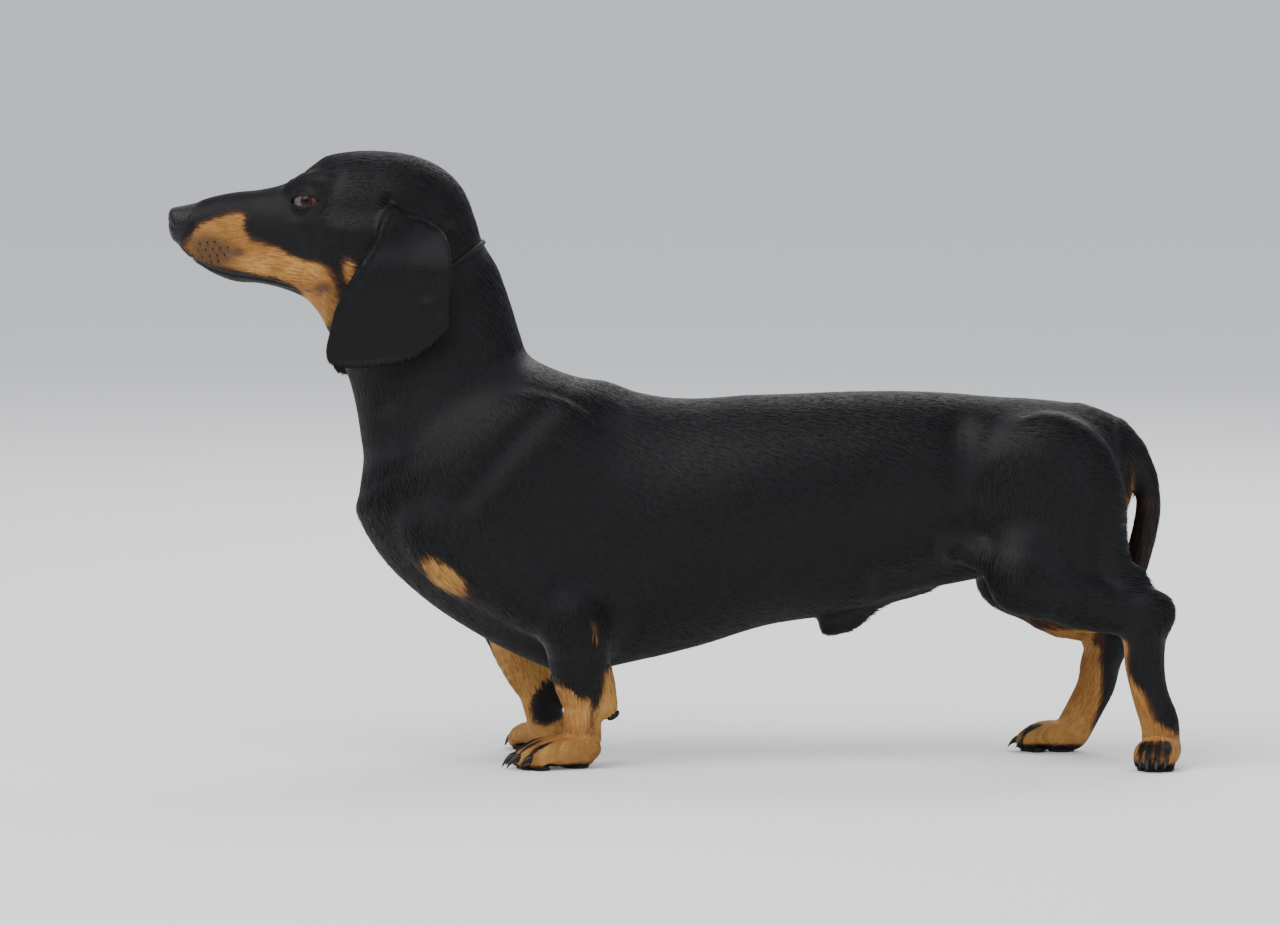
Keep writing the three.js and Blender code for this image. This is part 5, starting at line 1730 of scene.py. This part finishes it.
@dataclass
class Skin:
    """The dog's skin, one closed surface that lies inside the solids by the coat's depth."""

    dog: Dog
    net: Net = field(init=False)
    normals: Values = field(init=False)
    flow: Values = field(init=False)
    tan: Values = field(init=False)
    smoke: Values = field(init=False)
    length: Values = field(init=False)
    lay: Values = field(init=False)
    comb: Values = field(init=False)

    FLESH = ("head", "neck", "torso", "tail", "ear", "foreleg", "forepaw", "hindleg", "hindpaw")

    def edge_limit(self, p: Points) -> Values:
        """How long an edge may be at each place, shortest at the eyes and the mouth."""
        x, _, z = p.T
        limit = np.full(len(p), 6.5)
        limit[z < 32] = 2.0
        limit[x < -240] = 2.1
        near = np.nonzero((x < -224) & (z < 334))[0]
        limit[near[self.dog.mouth.distance(p[near]) < 3.2]] = 0.9
        for ear in self.dog.ears.values():
            near = np.nonzero((p[:, 1] * ear.side > 30) & (np.abs(x + 185) < 50) & (np.abs(z - 312) < 62))[0]
            beside, _, edge = ear.leaf(p[near])
            limit[near[(np.abs(edge) < 3.5) & (np.abs(beside) < 7)]] = 1.7
        for eye in self.dog.eyes.values():
            limit[norms(p - eye.centre) < 13.5] = 0.9
        return limit

    def __post_init__(self) -> None:
        """Lays the net over the skin, refines it and works out the coat's layout."""
        axes = (
            graded(-345, (-232, 2.4), (-138, 1.8), (-60, 2.6), (345, 4.8)),
            graded(-96, (-60, 4.0), (-42, 1.7), (42, 3.4), (60, 1.7), (96, 4.0)),
            graded(-6, (34, 2.4), (246, 4.6), (366, 1.9), (404, 2.6)),
        )
        self.net = Net(self.dog.skin, axes)
        self.net.relax(0.5)
        self.net.settle(1)
        for _ in range(3):
            self.net.refine(self.edge_limit)
        LOG.info("skin net: %d triangles", len(self.net.faces))
        coat = Coat(self.dog)
        p = self.net.points
        self.normals = self.net.normals()
        self.flow = coat.flow(p, self.normals)
        marks = Markings(self.dog)
        self.tan, self.smoke = np.clip(marks.level(p), -20, 20), marks.smoke(p)
        self.lay, self.comb = coat.layout(p, self.net.faces)
        self.length = self.hair_length(p)

    def bare(self, p: Points) -> Values:
        """Where the skin is bare: the lids' rims, the lips' edges and the soles."""
        x, _, z = p.T
        bare = fade(2.2, 1.1, self.dog.mouth.distance(p)) * fade(*MOUTH_FADE, x)
        for eye in self.dog.eyes.values():
            near = norms(p - eye.centre) < 14
            bare = np.maximum(bare, fade(2.4, 0.7, eye.opening(p)) * near)
        return np.maximum(bare, fade(2.5, 1.6, z))

    def hair_length(self, p: Points) -> Values:
        """How long the hairs are at each point, in millimetres."""
        x, y, z = p.T
        length = np.full(len(p), 8.5)
        length = mix(length, 6.0, fade(-120, -160, x) * fade(200, 260, z))
        length = mix(length, 3.0, fade(-205, -250, x))
        length = mix(length, 5.0, fade(100, 60, z) * (np.abs(x) > 20))
        length = mix(length, 3.2, fade(50, 20, z))
        ears = (np.abs(y) > 44) & (x < -138) & (z > 255) & (z < 362)
        length = np.where(ears, 4.5, length)
        return np.minimum(length, np.sqrt(2.0 * self.round_radius()))

    def round_radius(self) -> Values:
        """The radius at which the surface curves away along the hairs, in millimetres."""
        ends = self.net.edges()
        ends = np.concatenate([ends, ends[:, ::-1]])
        a, b = ends.T
        span = self.net.points[b] - self.net.points[a]
        reach = norms(span) + 1e-6
        along = ((span * self.flow[a]).sum(1) / reach) ** 2
        bend = ((self.normals[b] - self.normals[a]) * span).sum(1) / reach**2
        count = len(self.net.points)
        curve = np.bincount(a, along * bend, count) / (np.bincount(a, along, count) + 1e-6)
        for _ in range(2):
            curve = 0.5 * curve + 0.5 * np.bincount(a, curve[b], count) / np.bincount(a, minlength=count)
        return 1 / np.maximum(curve, 1e-3)

    def build(self, material: Material) -> Piece:
        """Makes the skin's own piece."""
        skin = make_piece("skin", self.net.points, self.net.faces, material)
        bare = self.bare(self.net.points)
        store(skin.data, tan=self.tan, bare=bare, smoke=self.smoke, comb=self.comb)
        nodes = [n for n in frame["nodes"] if n.split("_")[0] in self.FLESH]
        return hand_over(skin, Slot.COAT, *nodes)


@dataclass
class Fur:
    """The short coat: thin flat tufts that lie along the body over the whole skin."""

    skin: Skin
    # How thick a tuft is, as a share of its width.
    THICK = 0.22

    lift: float = 0.035
    spread: float = 0.09
    dense: float = 2.2

    def tuft(self) -> Piece:
        """A thin leaf of six triangles, pointed at the root and the tip."""
        points = [(-0.12, 0, -1.0), (0.38, -0.5, 0.1), (0.4, 0.5, 0.1), (0.42, 0, 1.0), (1, 0, 0.2)]
        faces = [(0, 1, 3), (0, 3, 2), (0, 2, 1), (1, 4, 3), (3, 4, 2), (2, 4, 1)]
        return seed_shape("tuft", points, faces)

    def regions(self) -> dict[str, Values]:
        """The faces that each piece of coat grows on."""
        x, y, z = self.skin.net.points[self.skin.net.faces].mean(1).T
        head = (x < -120) & (z > 255 - 0.2 * (x + 220))
        feet = ~head & (z < 60)
        legs = ~head & ~feet & (x > 180)
        front = ~head & ~feet & ~legs & (x < 20)
        return {
            "coat_head": head,
            "coat_feet": feet,
            "coat_rear": legs,
            "coat_front": front,
            "coat_back": ~(head | feet | legs | front),
        }

    def bed(self, name: str, faces: Values, material: Material) -> Piece:
        """A copy of some of the skin's faces with all that the planting reads."""
        skin = self.skin
        used, corner = np.unique(skin.net.faces[faces], return_inverse=True)
        p = skin.net.points[used]
        bed = make_piece(name, p, corner.reshape(-1, 3), material)
        length = skin.length[used]
        width = 0.055 * length + 0.3
        bare = skin.bare(p) + fade(-1.5, 0.5, self.skin.dog.nose_ahead(p)) * (p[:, 0] < -300)
        corners = np.repeat(faces, 3)
        cover = np.clip(1 - bare, 0, 1) * self.dense / (length * width)
        size = np.column_stack([length, width, self.THICK * width])
        store(bed.data, flow=skin.flow[used], size=size, cover=cover, tan=skin.tan[used])
        store(bed.data, smoke=skin.smoke[used], bare=np.zeros(len(used)))
        store(bed.data, comb=skin.comb[corners], lay=skin.lay[corners])
        return bed

    def build(self, material: Material) -> None:
        """Grows every piece of the coat."""
        planting = Planting("coat", material, True)
        tuft = self.tuft()
        for seed, (name, faces) in enumerate(self.regions().items()):
            bed = self.bed(name, faces, material)
            planting.plant(bed, tuft, Lift=self.lift, Spread=self.spread, Seed=seed + 3)
            hand_over(bed, Slot.TAN_COAT if name == "coat_feet" else Slot.COAT)
        bpy.data.objects.remove(tuft)


@dataclass
class Eye:
    """One eyeball with the bulge of its cornea; the left one looks back a little."""

    name: str
    frame: EyeFrame
    rings: int = 28
    sides: int = 48
    bulge: float = 0.9
    iris: float = 4.4
    gaze: float = 16.0

    def build(self, material: Material) -> Piece:
        """Turns the eyeball about the way it looks and stores where each point is for its colours."""
        points, ring = [(self.frame.RADIUS + self.bulge, 0.0, 0.0)], [0.0]
        for i in range(1, self.rings):
            angle = pi * i / self.rings
            away = self.frame.RADIUS * sin(angle)
            over = max(0.0, 1 - (away / self.iris) ** 2) if angle < pi / 2 else 0.0
            radius = self.frame.RADIUS + self.bulge * over**0.8
            for j in range(self.sides):
                turn = tau * j / self.sides
                out = radius * sin(angle)
                points.append((radius * cos(angle), out * cos(turn), out * sin(turn)))
                ring.append(away if angle < pi / 2 else 20.0)
        points.append((-self.frame.RADIUS, 0.0, 0.0))
        ring.append(20.0)
        last = len(points) - 1
        faces: list[tuple[int, ...]] = []
        for j in range(self.sides):
            k = (j + 1) % self.sides
            faces.append((0, 1 + j, 1 + k))
            for i in range(self.rings - 2):
                a, b = 1 + i * self.sides, 1 + (i + 1) * self.sides
                faces.append((a + j, b + j, b + k, a + k))
            end = 1 + (self.rings - 2) * self.sides
            faces.append((end + j, last, end + k))
        if np.linalg.det(self.frame.axes) < 0:
            faces = [face[::-1] for face in faces]
        turned = radians(self.gaze * min(self.frame.side, 0.0))
        ahead, rear, rise = np.array(points).T
        local = np.column_stack(
            [
                ahead * cos(turned) + rear * sin(turned),
                rear * cos(turned) - ahead * sin(turned),
                rise,
            ]
        )
        places = local @ self.frame.axes.T + self.frame.centre
        piece = make_piece("eye_piece_" + self.name, places, faces, material)
        store(piece.data, ring=np.array(ring), rear=local[:, 1])
        return hand_over(piece, Slot.EYE, "eye_" + self.name)


@dataclass
class Nose:
    """The nose's bare leather, with its wings, nostrils and the groove below them."""

    dog: Dog
    behind: float = 3.0
    cell: float = 0.8
    nostrils: list[Chain] = field(init=False)

    # The nostril's line from the front round to the side: height, turn from straight ahead, depth and radius.
    SLIT = (
        (350.6, 14, 5.5, 1.9), (350.6, 20, 2.0, 2.6), (350.8, 25, 0.6, 3.0), (349.0, 38, 0.0, 2.2),
        (346.6, 52, 0.0, 1.4), (346.4, 66, 0.0, 1.1), (348.6, 80, 0.0, 0.9), (351.0, 90, 0.2, 0.6),
    )
    SLIT_X = -315.0

    def __post_init__(self) -> None:
        """Lays the nostrils on the nose: a round mouth in front that runs back as a slit to the side."""
        rows = []
        for z, turn, deep, radius in self.SLIT:
            rows.append((*self.dog.laid([(self.SLIT_X, z)], [turn], deep)[0], radius))
        self.nostrils = [Chain([mirrored(row, side) for row in rows], 4) for side in SIDES.values()]

    def distance(self, p: Points) -> Values:
        """The distance to the nose, negative inside."""
        x, y, z = p.T
        ahead = self.dog.nose_ahead(p)
        groove = np.exp(-((y / 0.9) ** 2)) * fade(-318, -324, x) * fade(358, 350, z)
        d = self.dog.body(p) + 1.3 * groove + 1.2 * fade(2.0, -2.0, ahead) + 0.8
        for nostril in self.nostrils:
            d = carve(d, nostril.distance(p), 0.9)
        return -join(-d, ahead + self.behind, 0.8)

    def build(self, material: Material) -> Piece:
        """Lays a fine net over the nose."""
        axes = (graded(-336, (-298, self.cell)), graded(-22, (22, self.cell)), graded(328, (372, self.cell)))
        net = Net(self.distance, axes)
        net.relax(0.5)
        net.settle(1)
        return hand_over(make_piece("nose_piece", net.points, net.faces, material), Slot.NOSE, "nose")


def ring_faces(rings: int, sides: int) -> list[tuple[int, ...]]:
    """The faces between rings of points, with a flat one over each end."""
    faces: list[tuple[int, ...]] = [tuple(range(sides - 1, -1, -1))]
    for start in range(0, (rings - 1) * sides, sides):
        for k in range(sides):
            a, b = start + k, start + (k + 1) % sides
            faces.append((a, b, b + sides, a + sides))
    last = (rings - 1) * sides
    return [*faces, tuple(range(last, last + sides))]


def turned_shape(name: str, stations: Sequence[Place], sides: int) -> Piece:
    """A shape to plant, round about a bent line.

    Args:
        name: its name.
        stations: rows of how far along, how high and how thick, in parts of its length and width.
        sides: how many sides it has.
    """
    points: list[Place] = []
    for x, z, r in stations:
        for k in range(sides):
            a = tau * k / sides
            points.append((x, 0.5 * r * cos(a), z + 0.5 * r * sin(a)))
    return seed_shape(name, points, ring_faces(len(stations), sides))


@dataclass
class Growth:
    """Copies of one small shape, each planted at its own place: a base for claws, pads and whiskers."""

    dog: Dog
    places: list[Values] = field(default_factory=list)
    flows: list[Values] = field(default_factory=list)
    tops: list[Values] = field(default_factory=list)
    sizes: list[Place] = field(default_factory=list)

    NAME = "growth"
    SLOT = Slot.CLAW
    SPREAD = 0.0

    def shape(self) -> Piece:
        """The shape that is planted."""
        raise NotImplementedError

    def lay_out(self) -> None:
        """Adds every copy's place, direction and size."""
        raise NotImplementedError

    def add(
        self, place: Sequence[float], flow: Sequence[float], size: Place,
        top: Sequence[float] = (0.0, 0.0, 1.0),
    ) -> None:
        """Adds one copy."""
        self.places.append(np.array(place, float))
        self.flows.append(np.array(flow, float))
        self.tops.append(np.array(top, float))
        self.sizes.append(size)

    def build(self, material: Material) -> Piece:
        """Plants all copies."""
        self.lay_out()
        bed = make_piece(self.NAME, np.array(self.places), [], material)
        flows, tops, sizes = (np.array(rows) for rows in (self.flows, self.tops, self.sizes))
        store(bed.data, flow=flows, upward=tops, size=sizes)
        shape = self.shape()
        Planting(self.NAME, material, False).plant(bed, shape, Lift=0.0, Spread=self.SPREAD, Seed=2)
        bpy.data.objects.remove(shape)
        return hand_over(bed, self.SLOT)


class Claws(Growth):
    """The claws: short strong horns that grow from the toes' tips and bend to the ground."""

    NAME = "claws"
    SPREAD = 0.05

    def shape(self) -> Piece:
        """A claw bent down towards its blunt tip."""
        stations = (
            (-0.4, 0.0, 0.8), (-0.1, 0.08, 0.98), (0.15, 0.1, 1.0), (0.4, 0.03, 0.86),
            (0.62, -0.18, 0.68), (0.82, -0.5, 0.46), (0.96, -0.84, 0.24), (1.0, -0.98, 0.1),
        )
        return turned_shape("claw", stations, 10)

    def lay_out(self) -> None:
        """One claw at the end of every toe."""
        for paw in self.dog.paws.values():
            for spread in TOES:
                rows = paw.toe(spread)
                tip, back = np.array(rows[3][:3]), np.array(rows[2][:3])
                way = (tip - back) * (1, 1, 0)
                way /= np.linalg.norm(way)
                size = paw.size
                self.add(tip + way * 3.4 + (0, 0, 1.2), way, (size.claw, size.thick * 2.3, size.thick * 2.5))


class Pads(Growth):
    """The pads under the toes and the heels, flat where they stand."""

    NAME = "pads"
    SLOT = Slot.CLAW

    def shape(self) -> Piece:
        """A low dome with a flat base, standing on the floor."""
        sides = 18
        rings = ((0.0, 0.36), (0.06, 0.46), (0.3, 0.5), (0.7, 0.42), (0.95, 0.2))
        points = [
            (r * cos(tau * k / sides), r * sin(tau * k / sides), z)
            for z, r in rings
            for k in range(sides)
        ]
        return seed_shape("pad", points, ring_faces(len(rings), sides))

    def lay_out(self) -> None:
        """Four toe pads and the large pad behind them under every paw."""
        for paw in self.dog.paws.values():
            for spread in TOES:
                x, y, _ = paw.toe(spread)[3][:3]
                self.add(np.array([x, y, 0]) - paw.forward * 2.5, paw.forward, (11, 8, 4.2))
            self.add(paw.place(8, 0, 0), paw.forward, (18, paw.size.width * 0.55, 4.6))
        for tendon in self.dog.tendons.values():
            x, y, z, _ = tendon.balls[-1]
            self.add((x + 3.9, y, z - 5.2), (0.8, 0.0, 0.6), (9.5, 8.0, 3.6), (0.6, 0.0, -0.8))


class Whiskers(Growth):
    """Fine bristles in rows on the lips, each from a dark mound."""

    NAME = "whiskers"
    SPREAD = 0.12

    # Rows on the lip: the rearmost whisker's x and height, and how many there are towards the nose.
    ROWS = ((-298.0, 338.4, 3), (-289.5, 334.8, 5), (-291.5, 330.2, 4), (-295.5, 326.0, 2))
    APART = 4.8

    def shape(self) -> Piece:
        """A mound with a bristle that bends back."""
        stations = (
            (-0.06, 0.0, 5.5), (0.02, 0.0, 5.0), (0.05, 0.0, 1.4), (0.3, 0.5, 1.0), (0.65, 2.0, 0.7),
            (1.0, 4.5, 0.3),
        )
        return turned_shape("whisker", stations, 6)

    def lay_out(self) -> None:
        """The same rows on either side."""
        for x, z, count in self.ROWS:
            for i in range(count):
                start = (x - self.APART * i, z - 0.5 * i)
                right = self.dog.laid([start], [90.0], SKIN_DEPTH)[0]
                long = 11.0 - 1.2 * i
                for side in SIDES.values():
                    way = np.array([0.1, side * 0.9, -0.25])
                    self.add(mirrored(right, side), way, (long, 0.28, 0.28), (1.0, 0.0, 0.1))


@dataclass
class Collar:
    """The collar: a narrow leather strap laid round the top of the neck."""

    dog: Dog
    back: tuple[float, float] = (-125.0, 337.0)
    front: tuple[float, float] = (-221.0, 266.0)
    wide: float = 3.2
    thick: float = 1.2
    sides: int = 128

    def build(self, material: Material) -> Piece:
        """Lays the strap round the neck, marching each of its rings onto the coat."""
        back, front = np.array(self.back), np.array(self.front)
        centre = np.array([(back[0] + front[0]) / 2, 0, (back[1] + front[1]) / 2])
        along = np.array([front[0] - back[0], 0, front[1] - back[1]])
        along /= np.linalg.norm(along)
        axis = np.array([along[2], 0, -along[0]])
        turns = np.arange(self.sides) * tau / self.sides
        rays = np.cos(turns)[:, None] * along + np.sin(turns)[:, None] * np.array([0, 1, 0])
        reach = np.full(self.sides, 25.0)
        for _ in range(40):
            reach -= self.dog.body(centre + rays * reach[:, None]) * 0.9
        reach = (reach + np.roll(reach, 1) + np.roll(reach, -1)) / 3
        half, thick = self.wide / 2, self.thick
        outline = [(-0.9, -half + 0.3), (0.0, -half), (thick - 0.6, -half), (thick, -half + 0.6)]
        outline += [(a, -b) for a, b in reversed(outline)]
        points = np.concatenate(
            [centre + rays * (reach + out)[:, None] + axis * up for out, up in outline]
        )
        count = len(outline)
        faces = []
        for k in range(count):
            for i in range(self.sides):
                j, m = (i + 1) % self.sides, (k + 1) % count
                a, b = k * self.sides, m * self.sides
                faces.append((a + i, b + i, b + j, a + j))
        piece = make_piece("collar_strap", points, faces, material)
        return hand_over(outward(piece), Slot.COLLAR, "collar")


def outward(piece: Piece) -> Piece:
    """Turns a closed piece's faces outwards, by the sign of its volume."""
    mesh = piece.data
    mesh.calc_loop_triangles()
    corners = np.array([t.vertices for t in mesh.loop_triangles])
    places = np.array([v.co for v in mesh.vertices])
    a, b, c = (places[corners[:, k]] for k in range(3))
    if (np.cross(b, c) * a).sum() < 0:
        mesh.flip_normals()
    return piece


@dataclass
class Studio:
    """A pale floor, soft light and a camera where the photographer stood."""

    target: Place = (-22.75, 0.0, 194.0)
    distance: float = 6000.0
    elevation: float = 4.0
    seen: float = 832.0
    floor_half: float = 9000.0

    def light(self, name: str, place: Sequence[float], size: float, power: float) -> Piece:
        """A soft square lamp at a place in millimetres that shines at the dog."""
        lamp = bpy.data.lights.new(name, "AREA")
        lamp.shape, lamp.size, lamp.energy = "SQUARE", size, power
        made = bpy.data.objects.new(name, lamp)
        made.location = Vector(place) * MM
        made.rotation_euler = (Vector(self.target) * MM - made.location).to_track_quat("-Z", "Y").to_euler()
        bpy.context.scene.collection.objects.link(made)
        return made

    def build(self) -> None:
        """Sets up the floor, the lights, the world and the camera."""
        half = self.floor_half
        shader = Shader("floor")
        shader.set(Base_Color=(0.88, 0.875, 0.86, 1.0), Roughness=0.9)
        shader.set(Emission_Color=(0.9, 0.93, 1.0, 1.0), Emission_Strength=0.08)
        corners = np.array([(-half, -half, 0), (half, -half, 0), (half, half, 0), (-half, half, 0)])
        floor = make_piece("floor", corners, [(0, 1, 2, 3)], shader.material)
        lights = [
            self.light("key", (-1400, -1500, 2800), 3.0, 115),
            self.light("fill", (2200, -2200, 1300), 2.6, 15),
            self.light("back", (600, 2200, 2200), 2.0, 45),
        ]
        world = bpy.data.worlds.new("studio")
        world.use_nodes = True
        ground = world.node_tree.nodes["Background"]
        ground.inputs["Color"].default_value = (0.9, 0.93, 1.0, 1.0)
        ground.inputs["Strength"].default_value = 0.75
        bpy.context.scene.world = world
        lens = bpy.data.cameras.new("camera")
        lens.sensor_width = 36.0
        lens.lens = lens.sensor_width * self.distance / self.seen
        lens.clip_end = 100
        camera = bpy.data.objects.new("camera", lens)
        tip = radians(self.elevation)
        away = Vector((0, -cos(tip), sin(tip))) * self.distance
        camera.location = (Vector(self.target) + away) * MM
        camera.rotation_euler = (radians(90 - self.elevation), 0, 0)
        bpy.context.scene.collection.objects.link(camera)
        bpy.context.scene.camera = camera


def main() -> None:
    """Builds the dog from the skin outwards, then the studio."""
    dog = Dog()
    skin = Skin(dog)
    coat = COAT.material("coat", 0.13)
    skin.build(coat)
    for name, eye_frame in dog.eyes.items():
        Eye(name, eye_frame).build(EYE.material())
    Nose(dog).build(NOSE.material())
    Claws(dog).build(HORN.material())
    Pads(dog).build(PAD.material())
    Whiskers(dog).build(BRISTLE.material())
    Collar(dog).build(LEATHER.material())
    Fur(skin).build(coat)
    Studio().build()


if __name__ == "__main__":
    main()
